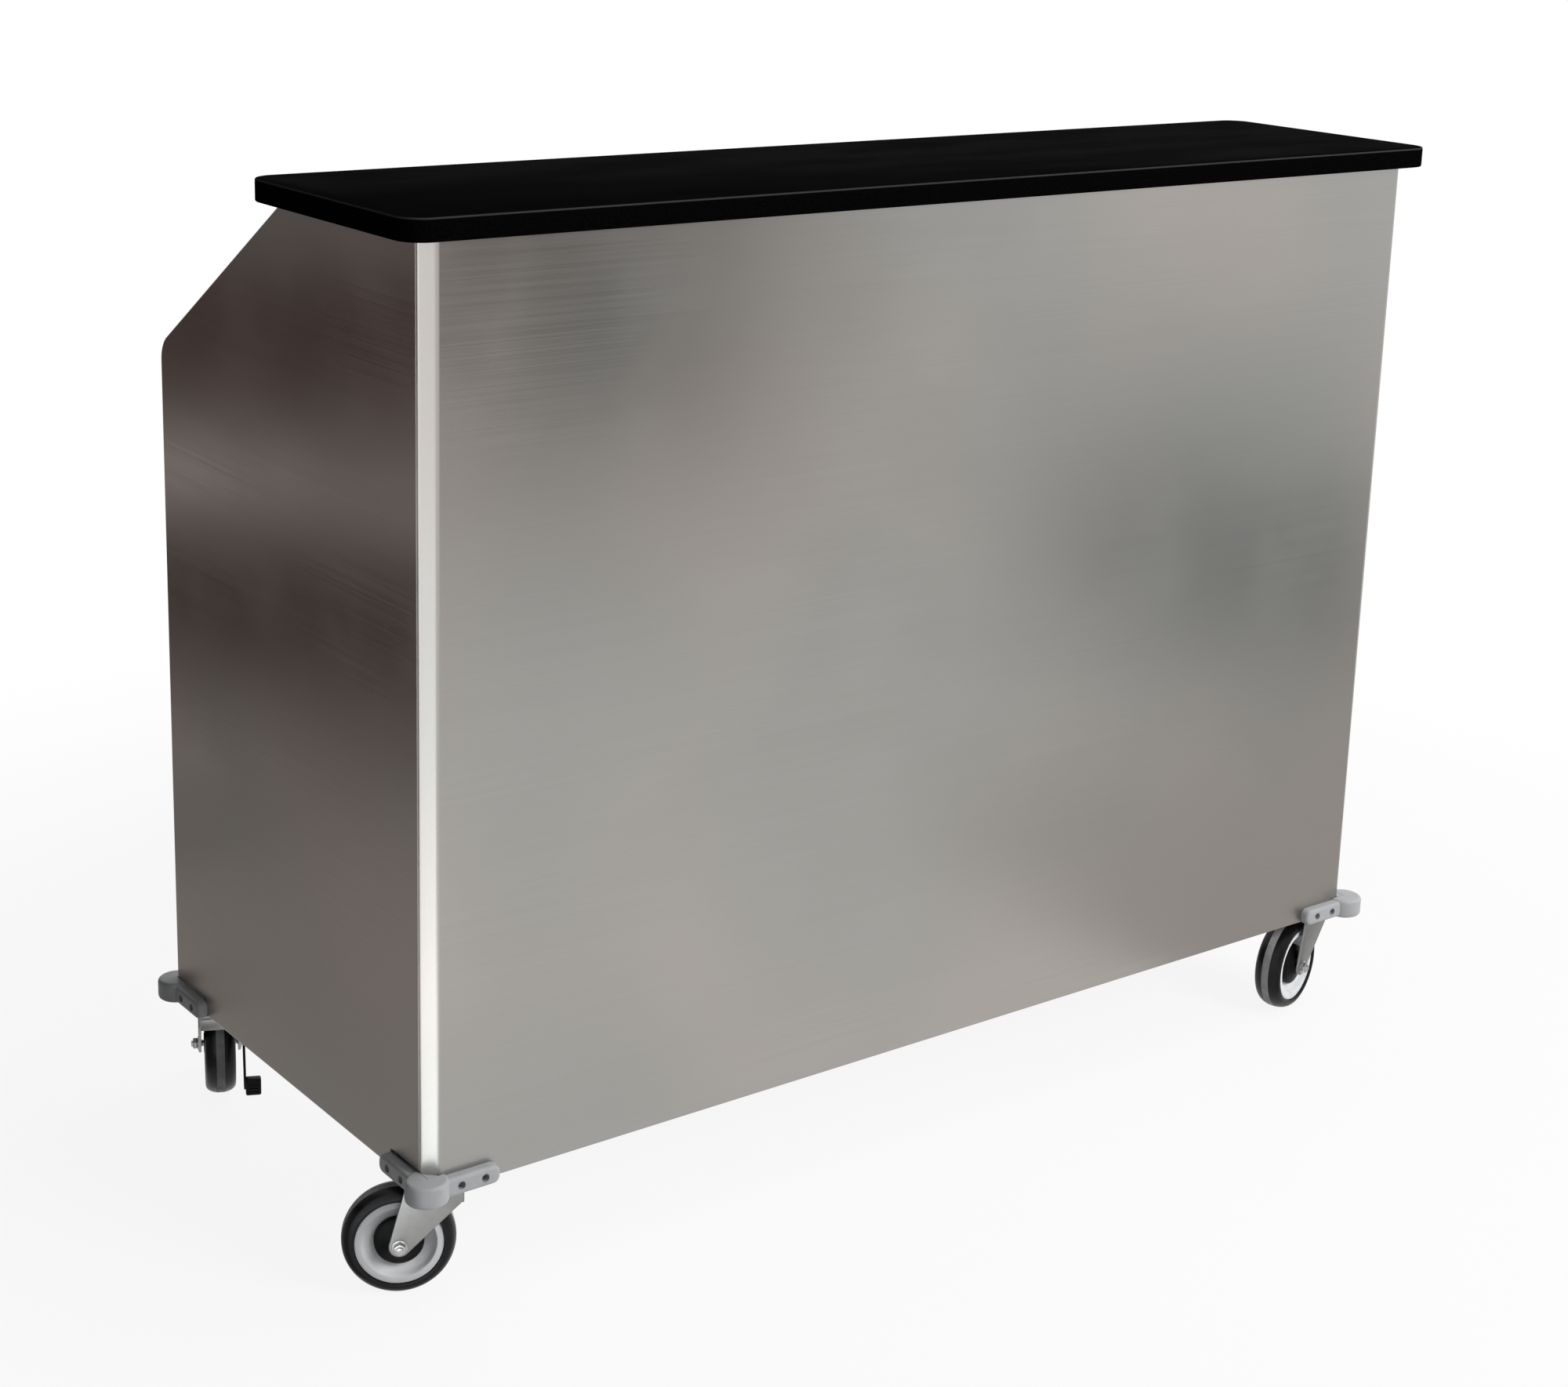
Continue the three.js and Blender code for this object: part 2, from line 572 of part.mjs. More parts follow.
function fork(hasBrake) {
  const crown = box([-CROWN_AHEAD, CROWN_BEHIND], [-LEG_OUTER, LEG_OUTER], [CROWN_BOTTOM, CROWN_TOP]);
  const reach = 2 * LEG_OUTER;
  const holes = [
    rodZ(KINGPIN_RADIUS + FIT, CROWN_BOTTOM - FIT, CROWN_TOP + FIT, 0, 0, RACE_SIDES),
    rodY(AXLE_RADIUS + FIT, -reach, reach, TRAIL, WHEEL_RADIUS),
  ];
  if (hasBrake) holes.push(rodY(BRAKE_PIN_RADIUS + FIT, -reach, reach, -BRAKE_BACK, BRAKE_HEIGHT));
  return cut(joined(crown, forkLeg(-LEG_OUTER), forkLeg(LEG_INNER)), ...holes);
}

function axle() {
  const end = LEG_OUTER + FIT;
  const starts = [-end - NUT_HEIGHT, end];
  const nuts = starts.map((y0) => rodY(NUT_RADIUS, y0, y0 + NUT_HEIGHT, 0, 0, NUT_SIDES));
  return joined(rodY(AXLE_RADIUS, -end - FIT, end + FIT, 0, 0), ...nuts);
}

function tyre() {
  const half = TYRE_WIDTH / 2;
  const inner = RIM_RADIUS + FIT;
  const shoulder = TYRE_SHOULDER;
  const cornerX = WHEEL_RADIUS - shoulder * (1 - Math.SQRT1_2);
  const cornerY = half - shoulder * (1 - Math.SQRT1_2);
  const profile = [
    [inner, -half],
    [WHEEL_RADIUS - shoulder, -half],
    [cornerX, -cornerY],
    [WHEEL_RADIUS, -half + shoulder],
    [WHEEL_RADIUS, half - shoulder],
    [cornerX, cornerY],
    [WHEEL_RADIUS - shoulder, half],
    [inner, half],
    [inner, -half],
  ];
  return lathe(profile, WHEEL_SIDES);
}

function rim() {
  const half = RIM_WIDTH / 2;
  const web = RIM_WEB_WIDTH / 2;
  const inner = HUB_RADIUS + FIT;
  const lip = RIM_RADIUS - RIM_LIP;
  const profile = [
    [inner, -web],
    [lip - RIM_LIP, -web],
    [lip, -half],
    [RIM_RADIUS, -half],
    [RIM_RADIUS, half],
    [lip, half],
    [lip - RIM_LIP, web],
    [inner, web],
    [inner, -web],
  ];
  return lathe(profile, WHEEL_SIDES);
}

function hub() {
  const bore = AXLE_RADIUS + FIT;
  const half = HUB_WIDTH / 2;
  const edge = HUB_EDGE_WIDTH / 2;
  const flat = (bore + HUB_RADIUS) / 2;
  const profile = [
    [bore, -half],
    [flat, -half],
    [HUB_RADIUS, -edge],
    [HUB_RADIUS, edge],
    [flat, half],
    [bore, half],
    [bore, -half],
  ];
  return lathe(profile, WHEEL_SIDES);
}

// Brake pedal: a cam between the fork legs, a cross pin, an outside arm and a foot pad.
function brakePedal() {
  const toAxle = new THREE.Vector2(TRAIL + BRAKE_BACK, WHEEL_RADIUS - BRAKE_HEIGHT);
  const noseReach = toAxle.length() - WHEEL_RADIUS - CAM_NOSE_RADIUS - CAM_GAP;
  const nose = toAxle.clone().setLength(noseReach);
  const camHalf = CAM_WIDTH / 2;
  const armOuter = -LEG_OUTER - PEDAL_ARM_GAP;
  const armFace = armOuter - PEDAL_ARM;
  const arm = new THREE.Shape();
  const slant = Math.atan2(-PEDAL_DROP, -PEDAL_REACH);
  arm.absarc(0, 0, PEDAL_ARM_RADIUS, slant + Math.PI / 2, slant + Math.PI * 1.5);
  arm.absarc(-PEDAL_REACH, -PEDAL_DROP, PEDAL_ARM_RADIUS, slant - Math.PI / 2, slant + Math.PI / 2);
  const padX = [-PEDAL_REACH - PAD_LENGTH, -PEDAL_REACH];
  const padZ = [-PEDAL_DROP - PAD_HEIGHT / 2, -PEDAL_DROP + PAD_HEIGHT / 2];
  const pieces = [
    rodY(BRAKE_PIN_RADIUS, armOuter - PEDAL_ARM / 2, LEG_OUTER, 0, 0),
    rodY(CAM_RADIUS, -camHalf, camHalf, 0, 0),
    rodY(CAM_NOSE_RADIUS, -camHalf, camHalf, nose.x, nose.y),
    alongY(arm, armFace, armOuter),
    box(padX, [armFace - PAD_WIDTH, armFace + PEDAL_ARM / 2], padZ),
  ];
  return joined(...pieces).translate(-BRAKE_BACK, 0, BRAKE_HEIGHT);
}

// Work shelf, hanging behind the front panel, and the ledger and leaf of its hinge.
function shelfBoard() {
  const top = SHELF_PIVOT_HEIGHT - SHELF_KNUCKLE_RADIUS - SHELF_EDGE_GAP;
  const half = SHELF_THICKNESS / 2;
  const depth = [SHELF_PIVOT_Y - half, SHELF_PIVOT_Y + half];
  return box([-SHELF_WIDTH / 2, SHELF_WIDTH / 2], depth, [top - SHELF_DEPTH, top]);
}

function shelfTube(x, length) {
  return rodX(SHELF_KNUCKLE_RADIUS, x - length / 2, x + length / 2, SHELF_PIVOT_Y, SHELF_PIVOT_HEIGHT);
}

function shelfBore() {
  const reach = LEDGER_LENGTH;
  return rodX(SHELF_PIN_RADIUS + FIT, -reach, reach, SHELF_PIVOT_Y, SHELF_PIVOT_HEIGHT);
}

function shelfLedger() {
  const half = LEDGER_LENGTH / 2;
  const plateY = [FRONT_BACK_Y, FRONT_BACK_Y + LEDGER_PLATE];
  const plateZ = [SHELF_PIVOT_HEIGHT, SHELF_PIVOT_HEIGHT + LEDGER_HEIGHT];
  const armZ = [SHELF_PIVOT_HEIGHT, SHELF_PIVOT_HEIGHT + SHELF_KNUCKLE_RADIUS / 2];
  const pieces = [box([-half, half], plateY, plateZ)];
  for (const x of LUG_SPOTS) {
    const width = [x - LUG_LENGTH / 2, x + LUG_LENGTH / 2];
    pieces.push(shelfTube(x, LUG_LENGTH), box(width, [FRONT_BACK_Y, SHELF_PIVOT_Y], armZ));
  }
  return cut(joined(...pieces), shelfBore());
}

function shelfLeaf() {
  const face = SHELF_PIVOT_Y - SHELF_THICKNESS / 2;
  const depth = [face - HINGE_LEAF, face];
  const top = SHELF_PIVOT_HEIGHT - SHELF_KNUCKLE_RADIUS - SHELF_EDGE_GAP;
  const pieces = [box([-LEDGER_LENGTH / 2, LEDGER_LENGTH / 2], depth, [top - LEAF_STRIP, top])];
  for (const spot of LUG_SPOTS) {
    const x = spot + LUG_LENGTH + KNUCKLE_GAP;
    const width = [x - LUG_LENGTH / 2, x + LUG_LENGTH / 2];
    pieces.push(shelfTube(x, LUG_LENGTH), box(width, depth, [top - FIT, SHELF_PIVOT_HEIGHT]));
  }
  return cut(joined(...pieces), shelfBore());
}

function shelfPin() {
  const end = Math.max(...LUG_SPOTS) + 1.5 * LUG_LENGTH + KNUCKLE_GAP;
  return rodX(SHELF_PIN_RADIUS, -end, end, SHELF_PIVOT_Y, SHELF_PIVOT_HEIGHT);
}

// Shelf support on the left end panel: a plate with two lugs and a pin, and an arm that swings out.
function supportMount() {
  const low = SUPPORT_TOP - SUPPORT_HEIGHT - SUPPORT_LUG_GAP - SUPPORT_LUG;
  const high = SUPPORT_TOP;
  const half = SUPPORT_PLATE_WIDTH / 2;
  const plateX = [-END_INNER_X, -END_INNER_X + SUPPORT_PLATE];
  const lugSpans = [[low, low + SUPPORT_LUG], [high - SUPPORT_LUG, high]];
  const pieces = [box(plateX, [SUPPORT_Y - half, SUPPORT_Y + half], [low, high])];
  for (const [z0, z1] of lugSpans) {
    const reachY = [SUPPORT_Y - SUPPORT_SLEEVE_RADIUS, SUPPORT_Y];
    pieces.push(rodZ(SUPPORT_SLEEVE_RADIUS, z0, z1, -SUPPORT_X, SUPPORT_Y));
    pieces.push(box([-END_INNER_X, -SUPPORT_X], reachY, [z0, z1]));
  }
  pieces.push(rodZ(SHELF_PIN_RADIUS, low, high, -SUPPORT_X, SUPPORT_Y));
  return joined(...pieces);
}

function supportArm() {
  const bottom = SUPPORT_TOP - SUPPORT_HEIGHT;
  const neck = SUPPORT_SLEEVE_RADIUS + SUPPORT_LUG_GAP;
  const side = polygon([
    [SUPPORT_Y + neck, bottom],
    [SUPPORT_Y + SUPPORT_REACH, SUPPORT_TOP - SUPPORT_TIP],
    [SUPPORT_Y + SUPPORT_REACH, SUPPORT_TOP],
    [SUPPORT_Y + neck, SUPPORT_TOP],
  ]);
  const half = SUPPORT_THICKNESS / 2;
  const sleeveTop = SUPPORT_TOP - SUPPORT_LUG - SUPPORT_LUG_GAP;
  const width = [-SUPPORT_X - half, -SUPPORT_X + half];
  const arm = joined(
    rodZ(SUPPORT_SLEEVE_RADIUS, bottom, sleeveTop, -SUPPORT_X, SUPPORT_Y),
    box(width, [SUPPORT_Y, SUPPORT_Y + neck + FIT], [bottom, sleeveTop]),
    alongX(side, ...width),
  );
  return cut(arm, rodZ(SHELF_PIN_RADIUS + FIT, bottom - FIT, sleeveTop + FIT, -SUPPORT_X, SUPPORT_Y));
}

// Assembly
add("bar_top", barTop(), blackLaminate);
add("top_arm_left", topArm(-ARM_X), galvanised);
add("top_arm_right", topArm(ARM_X), galvanised);
add("front_skin", frontSkin(), stainless);
add("front_frame", frontFrame(), galvanised);
add("front_liner", frontLiner(), stainless);
add("shelf_ledger", shelfLedger(), galvanised);
add("shelf_hinge_pin", shelfPin(), chrome);
add("shelf_hinge_leaf", shelfLeaf(), galvanised);
add("work_shelf", shelfBoard(), blackLaminate);

const leftPieces = [
  ["end_skin", endSkin(), stainless],
  ["end_frame", endFrame(), galvanised],
  ["end_liner", endLiner(), stainless],
  ["hinge_front_leaf", hingeFrontLeaf(), stainless],
  ["hinge_end_leaf", hingeEndLeaf(), stainless],
  ["hinge_pin", hingePin(), chrome],
  ["support_mount", supportMount(), galvanised],
  ["support_arm", supportArm(), galvanised],
];
for (const [name, geometry, material] of leftPieces) {
  add(`${name}_left`, geometry, material);
  add(`${name}_right`, mirrored(geometry, 0), material);
}

// One corner: shoe and bumper at the panel's corner, caster under the shoe.
function corner(place) {
  const isRear = place.startsWith("rear");
  const isRight = place.endsWith("right");
  const placed = (geometry) => {
    const across = isRight ? mirrored(geometry, 0) : geometry;
    return isRear ? mirrored(across, 1) : across;
  };
  const cornerX = isRight ? HALF_WIDTH : -HALF_WIDTH;
  const cornerY = isRear ? REAR_Y : FRONT_FACE_Y;
  const shoe = add(`corner_shoe_${place}`, placed(cornerShoe(isRear ? END_BASE : SHOE_TOP)), galvanised);
  const guard = add(`bumper_${place}`, placed(bumper()), greyPlastic);
  shoe.position.set(cornerX, cornerY, 0);
  guard.position.set(cornerX, cornerY, 0);

  const caster = new THREE.Group();
  const axisX = isRight ? cornerX - CASTER_INSET_X : cornerX + CASTER_INSET_X;
  const axisY = isRear ? cornerY - CASTER_INSET_Y : cornerY + CASTER_INSET_Y;
  caster.position.set(axisX, axisY, 0);
  const race = add(`caster_race_${place}`, casterRace(), galvanised);
  race.position.copy(caster.position);

  caster.rotation.z = THREE.MathUtils.degToRad(SWIVEL_DEG[place]);
  bar.add(caster);
  add(`caster_fork_${place}`, fork(isRear), galvanised, caster);
  if (isRear) add(`brake_pedal_${place}`, brakePedal(), blackPlastic, caster);

  const wheel = new THREE.Group();
  wheel.position.set(TRAIL, 0, WHEEL_RADIUS);
  caster.add(wheel);
  add(`axle_bolt_${place}`, axle(), chrome, wheel);
  add(`tyre_${place}`, tyre(), rubber, wheel);
  add(`wheel_rim_${place}`, rim(), paleRim, wheel);
  add(`wheel_hub_${place}`, hub(), blackPlastic, wheel);
}

for (const place of Object.keys(SWIVEL_DEG)) corner(place);

export default bar;
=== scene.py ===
import json
import math

import bmesh
import bpy
from mathutils import Matrix, Vector


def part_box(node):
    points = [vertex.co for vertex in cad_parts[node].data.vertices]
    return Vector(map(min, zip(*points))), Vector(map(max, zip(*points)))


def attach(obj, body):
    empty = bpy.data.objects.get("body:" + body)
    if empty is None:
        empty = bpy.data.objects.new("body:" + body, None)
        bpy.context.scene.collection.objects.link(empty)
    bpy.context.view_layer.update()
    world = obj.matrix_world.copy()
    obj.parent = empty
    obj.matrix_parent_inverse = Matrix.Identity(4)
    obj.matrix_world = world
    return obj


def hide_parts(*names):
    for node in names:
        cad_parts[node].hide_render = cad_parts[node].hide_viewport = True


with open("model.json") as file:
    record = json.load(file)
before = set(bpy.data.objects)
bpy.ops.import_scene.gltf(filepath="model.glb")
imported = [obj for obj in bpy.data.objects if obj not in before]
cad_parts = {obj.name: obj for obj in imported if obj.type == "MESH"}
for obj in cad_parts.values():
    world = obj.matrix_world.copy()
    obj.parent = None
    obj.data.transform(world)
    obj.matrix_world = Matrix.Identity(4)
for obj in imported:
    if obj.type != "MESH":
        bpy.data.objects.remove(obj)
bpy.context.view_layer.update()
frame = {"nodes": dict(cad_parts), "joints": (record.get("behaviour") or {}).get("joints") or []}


# Front skin: one sheet of brushed stainless steel, turned over at both upright edges and folded back
# between the end panels. It is bonded to the tube frame, and its bottom corners are cut away behind
# the bumpers.
class Signal:
    """One socket among a finish's nodes. Arithmetic on it adds Math nodes."""

    def __init__(self, tree, socket):
        self.tree = tree
        self.socket = socket

    def node(self, kind, settings, inputs, output=0):
        added = self.tree.nodes.new(kind)
        for name, value in settings.items():
            setattr(added, name, value)
        for name, value in inputs.items():
            if isinstance(value, Signal):
                self.tree.links.new(value.socket, added.inputs[name])
            else:
                added.inputs[name].default_value = value
        return Signal(self.tree, added.outputs[output])

    def math(self, operation, first, second):
        return self.node("ShaderNodeMath", {"operation": operation}, {0: first, 1: second})

    def __add__(self, other):
        return self.math("ADD", self, other)

    def __mul__(self, other):
        return self.math("MULTIPLY", self, other)

    def feed(self, surface, socket):
        self.tree.links.new(self.socket, surface.inputs[socket])


def new_finish(name, constants):
    """A material with its Principled surface and the Object coordinates that its patterns read."""
    finish = bpy.data.materials.new(name)
    finish.use_nodes = True
    tree = finish.node_tree
    surface = tree.nodes["Principled BSDF"]
    for socket, value in constants.items():
        surface.inputs[socket].default_value = value
    coordinates = tree.nodes.new("ShaderNodeTexCoord")
    return finish, surface, Signal(tree, coordinates.outputs["Object"])


def stretched(place, scale):
    return place.node("ShaderNodeMapping", {}, {"Vector": place, "Scale": scale})


def mottle(place, scale, detail=2.0):
    return place.node("ShaderNodeTexNoise", {}, {"Vector": place, "Scale": scale, "Detail": detail})


def between(signal, low, high, out_low=0.0, out_high=1.0):
    sockets = {"Value": signal, "From Min": low, "From Max": high, "To Min": out_low, "To Max": out_high}
    return signal.node("ShaderNodeMapRange", {"interpolation_type": "SMOOTHSTEP"}, sockets)


def blended(factor, first, second):
    return factor.node("ShaderNodeMix", {"data_type": "RGBA"}, {0: factor, 6: first, 7: second}, 2)


def relief(height, depth, strength):
    sockets = {"Height": height, "Distance": depth, "Strength": strength}
    return height.node("ShaderNodeBump", {}, sockets)


def brushed_stainless(name, grain):
    """Stainless sheet: fine brush lines, soft uneven patches left by rolling, and faint smears."""
    finish, surface, place = new_finish(name, {"Metallic": 1.0})
    lines = mottle(stretched(place, grain), 1.0, 3.0)
    patches = mottle(place, 2.1, 1.0)
    smears = mottle(place, 6.5, 4.0)
    warm = (0.432, 0.400, 0.372, 1)
    cool = (0.386, 0.380, 0.360, 1)
    dull = (0.344, 0.329, 0.308, 1)
    tone = blended(between(patches, 0.35, 0.65), cool, warm)
    tone = blended(between(lines, 0.2, 0.8, 0.0, 0.22), tone, dull)
    tone.feed(surface, "Base Color")
    rough = between(smears, 0.35, 0.7, 0.28, 0.32) + between(lines, 0.3, 0.7, 0.0, 0.04)
    rough.feed(surface, "Roughness")
    relief(lines, 0.0003, 0.10).feed(surface, "Normal")
    return finish


def make_piece(name, shape, finish, body, slot, *nodes, crease=38):
    """Closes and smooths a shape, and hangs it on its body in place of its solids."""
    bmesh.ops.remove_doubles(shape, verts=shape.verts, dist=1e-6)
    bmesh.ops.recalc_face_normals(shape, faces=shape.faces)
    mesh = bpy.data.meshes.new(name)
    shape.to_mesh(mesh)
    shape.free()
    mesh.materials.append(finish)
    mesh.shade_smooth()
    mesh.set_sharp_from_angle(angle=math.radians(crease))
    piece = bpy.data.objects.new(name, mesh)
    bpy.context.scene.collection.objects.link(piece)
    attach(piece, body)
    if nodes:
        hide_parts(*nodes)
    return piece


def flat_face(shape, points):
    return shape.faces.new([shape.verts.new(point) for point in points])


def pulled(shape, face, offset):
    """Extrudes a face by an offset and gives back the new end face."""
    grown = bmesh.ops.extrude_face_region(shape, geom=[face])["geom"]
    moved = [part for part in grown if isinstance(part, bmesh.types.BMVert)]
    bmesh.ops.translate(shape, verts=moved, vec=offset)
    return next(part for part in grown if isinstance(part, bmesh.types.BMFace))


def rounded(shape, edges, width, steps):
    sizes = {"offset": width, "offset_type": "OFFSET", "segments": steps, "profile": 0.5}
    bmesh.ops.bevel(shape, geom=edges, affect="EDGES", material=-1, **sizes)


def eased(shape, corners, width, steps):
    """Rounds the corners of a flat face."""
    sizes = {"offset": width, "offset_type": "OFFSET", "segments": steps, "profile": 0.5}
    bmesh.ops.bevel(shape, geom=corners, affect="VERTICES", material=-1, **sizes)


def block(shape, low, high):
    """A box between two corners; gives back its faces."""
    low, high = Vector(low), Vector(high)
    size = Matrix.Diagonal((high - low).to_4d())
    place = Matrix.Translation((low + high) / 2) @ size
    verts = bmesh.ops.create_cube(shape, size=1, matrix=place)["verts"]
    return list({face for vert in verts for face in vert.link_faces})


def upright_edges(shape, spots):
    """The upright edges that stand at the given plan points."""
    found = []
    for edge in shape.edges:
        foot, head = (vert.co for vert in edge.verts)
        is_upright = (foot - head).xy.length < 1e-6
        if is_upright and any((foot.xy - Vector(spot)).length < 1e-5 for spot in spots):
            found.append(edge)
    return found


half_width = 0.734
front_y = -0.3345
sheet = 0.0015
edge_turn = 0.014
panel_bottom = 0.140
panel_top = 1.184
shoe_top = 0.157
notch = 0.081
side_x = 0.7075
liner_y = -0.306
soft_fold = 0.004
crisp_fold = 0.0024
skirt_lip = 0.012
edge_back = front_y + edge_turn + sheet
inner_turn = edge_turn + 0.4 * sheet
outer_half = [
    (side_x, liner_y),
    (side_x, edge_back),
    (half_width, edge_back),
    (half_width, front_y + edge_turn),
    (half_width - edge_turn, front_y),
]
inner_half = [
    (half_width - inner_turn, front_y + sheet),
    (half_width - sheet, front_y + inner_turn),
    (half_width - sheet, edge_back - sheet),
    (side_x - sheet, edge_back - sheet),
    (side_x - sheet, liner_y),
]
outer_mirror = [(-x, y) for x, y in reversed(outer_half)]
inner_mirror = [(-x, y) for x, y in reversed(inner_half)]
skin_plan = outer_half + outer_mirror + inner_mirror + inner_half

skin = bmesh.new()
foot = flat_face(skin, [(x, y, shoe_top) for x, y in skin_plan])
pulled(skin, foot, (0, 0, panel_top - shoe_top))
soft_folds = [(side * (half_width - edge_turn), front_y) for side in (-1, 1)]
crisp_folds = [(side * half_width, front_y + edge_turn) for side in (-1, 1)]
rounded(skin, upright_edges(skin, soft_folds), soft_fold, 5)
rounded(skin, upright_edges(skin, crisp_folds), crisp_fold, 3)
skirt_x = half_width - notch
block(skin, (-skirt_x, front_y, panel_bottom), (skirt_x, front_y + sheet, shoe_top))
lip_low = (-skirt_x, front_y + sheet, panel_bottom)
lip_high = (skirt_x, front_y + skirt_lip, panel_bottom + sheet)
block(skin, lip_low, lip_high)
brush_fine = 700
brush_long = 2.5
front_steel = brushed_stainless("front_brushed_steel", (brush_long, brush_fine, brush_fine))
make_piece("front_sheet", skin, front_steel, "front_unit", "stainless", "front_skin")


# End skins: stainless sheet pans, one at each end, with the rear top corner cut off on a slope and all
# edges folded in. The pan is brushed from front to back, and it swings with its frame on the corner
# hinge.
end_front = -0.3175
end_rear = 0.2955
end_base = 0.162
end_top = 1.183
slope_start = -0.0255
slope_end = 0.974
slope_corner = Vector((end_rear, slope_end))
slope_ease = 0.018
pan_depth = 0.0235
pan_rim = 0.0015
fold_crease = 20
end_plan = [
    (end_front, end_base),
    (front_y + notch, end_base),
    (front_y + notch, panel_bottom),
    (end_rear - notch, panel_bottom),
    (end_rear - notch, end_base),
    (end_rear, end_base),
    (end_rear, slope_end),
    (slope_start, end_top),
    (end_front, end_top),
]
end_steel = brushed_stainless("end_brushed_steel", (brush_fine, brush_long, brush_fine))
for side, sign in (("left", -1), ("right", 1)):
    pan = bmesh.new()
    outside = flat_face(pan, [(sign * half_width, y, z) for y, z in end_plan])
    pulled(pan, outside, (-sign * pan_depth, 0, 0))
    at_corner = [vert for vert in pan.verts if (vert.co.yz - slope_corner).length < 1e-5]
    blunt = [edge for edge in pan.edges if all(vert in at_corner for vert in edge.verts)]
    rounded(pan, blunt, slope_ease, 6)
    outer = {vert for vert in pan.verts if abs(vert.co.x) > half_width - 1e-5}
    rim = [edge for edge in pan.edges if outer.issuperset(edge.verts)]
    rounded(pan, rim, pan_rim, 2)
    back = min(pan.faces, key=lambda face: abs(face.calc_center_median().x))
    bmesh.ops.inset_region(pan, faces=[back], thickness=sheet)
    pulled(pan, back, (sign * (pan_depth - sheet), 0, 0))
    sheet_name, panel, skin_node = f"end_sheet_{side}", f"end_panel_{side}", f"end_skin_{side}"
    make_piece(sheet_name, pan, end_steel, panel, "stainless", skin_node, crease=fold_crease)


# Liners and frames: flat stainless sheets that close the backs of the panels, screwed to welded square
# aluminium tubes that show only through gaps.
def dress(finish, *nodes):
    for node in nodes:
        materials = frame["nodes"][node].data.materials
        materials.clear()
        materials.append(finish)


def mill_aluminium():
    """Extruded tube as it leaves the mill: draw lines and a dull grey oxide."""
    finish, surface, place = new_finish("mill_aluminium", {"Metallic": 1.0})
    draw_lines = mottle(stretched(place, (300, 300, 6)), 1.0, 2.0)
    oxide = (0.42, 0.42, 0.43, 1)
    bare = (0.52, 0.52, 0.52, 1)
    blended(between(draw_lines, 0.3, 0.7), oxide, bare).feed(surface, "Base Color")
    between(draw_lines, 0.3, 0.7, 0.38, 0.5).feed(surface, "Roughness")
    relief(draw_lines, 0.0002, 0.1).feed(surface, "Normal")
    return finish


dress(front_steel, "front_liner")
dress(end_steel, "end_liner_left", "end_liner_right")
dress(mill_aluminium(), "front_frame", "end_frame_left", "end_frame_right")


# Bar top: a one inch board with black laminate on every face and well rounded corners. It is screwed
# to the front panel and to two steel arms behind it.
def black_laminate(name, shine):
    """Matt laminate: near black, a faint mottle, a fine pebbled texture, and a highlight painted on the
    upper edge.
    """
    finish, surface, place = new_finish(name, {"Specular IOR Level": shine})
    speckle = mottle(place, 420, 2.0)
    wiping = mottle(stretched(place, (5, 14, 14)), 1.0, 4.0)
    ink = (0.0014, 0.0014, 0.0015, 1)
    worn = (0.0042, 0.0041, 0.0043, 1)
    # The lighter tone on the rounded upper edge is a painted highlight along the top arris, not wear.
    painted_edge_highlight = (0.034, 0.034, 0.035, 1)
    height = place.node("ShaderNodeSeparateXYZ", {}, {"Vector": place}, 2)
    # These masks pick out the rounded upper edge, where the painted highlight goes.
    above_side = between(height, top_face - 1.1 * top_arris, top_face - 0.8 * top_arris)
    below_face = between(height, top_face - 0.3 * top_arris, top_face - 0.05 * top_arris, 1.0, 0.0)
    tone = blended(between(speckle, 0.45, 0.75, 0.0, 0.7), ink, worn)
    tone = blended(above_side * below_face, tone, painted_edge_highlight)
    tone.feed(surface, "Base Color")
    rough = between(wiping, 0.35, 0.7, 0.44, 0.54) + speckle * 0.04
    rough.feed(surface, "Roughness")
    relief(speckle, 0.0002, 0.12).feed(surface, "Normal")
    return finish


top_side = 0.762
top_front = -0.3525
top_rear = 0.0035
top_height = 0.0254
top_corner = 0.030
corner_steps = 12
top_arris = 0.0022
top_face = panel_top + top_height
board = bmesh.new()
corners = [(-top_side, top_front), (top_side, top_front), (top_side, top_rear), (-top_side, top_rear)]
flat_face(board, [(x, y, panel_top) for x, y in corners])
eased(board, board.verts[:], top_corner, corner_steps)
pulled(board, board.faces[:][0], (0, 0, top_height))
level_edges = [edge for edge in board.edges if abs(edge.verts[0].co.z - edge.verts[1].co.z) < 1e-6]
rounded(board, level_edges, top_arris, 3)
top_shine = 0.0001
top_laminate = black_laminate("black_top_laminate", top_shine)
make_piece("bar_top_board", board, top_laminate, "front_unit", "black_laminate", "bar_top", crease=50)


# Top arms: folded and zinc-plated steel gussets under the board, screwed to it and to the liner. They
# hold the board up when the end panels are folded in.
def zinc_plate(name, light, dark):
    """Plated pressed steel: a soft spangle, clouded sheen and faint press marks."""
    finish, surface, place = new_finish(name, {"Metallic": 1.0})
    cells = {"Vector": place, "Scale": 150}
    spangle = place.node("ShaderNodeTexVoronoi", {"feature": "SMOOTH_F1"}, cells)
    clouds = mottle(place, 22, 3.0)
    tone = blended(between(clouds, 0.35, 0.65), dark, light)
    blended(between(spangle, 0.2, 0.8, 0.0, 0.25), tone, dark).feed(surface, "Base Color")
    rough = between(clouds, 0.3, 0.7, 0.36, 0.48) + spangle * 0.06
    rough.feed(surface, "Roughness")
    relief(clouds, 0.0004, 0.12).feed(surface, "Normal")
    return finish


zinc_light = (0.36, 0.36, 0.355, 1)
zinc_dark = (0.27, 0.275, 0.275, 1)
zinc = zinc_plate("zinc_plated_steel", zinc_light, zinc_dark)
dress(zinc, "top_arm_left", "top_arm_right")


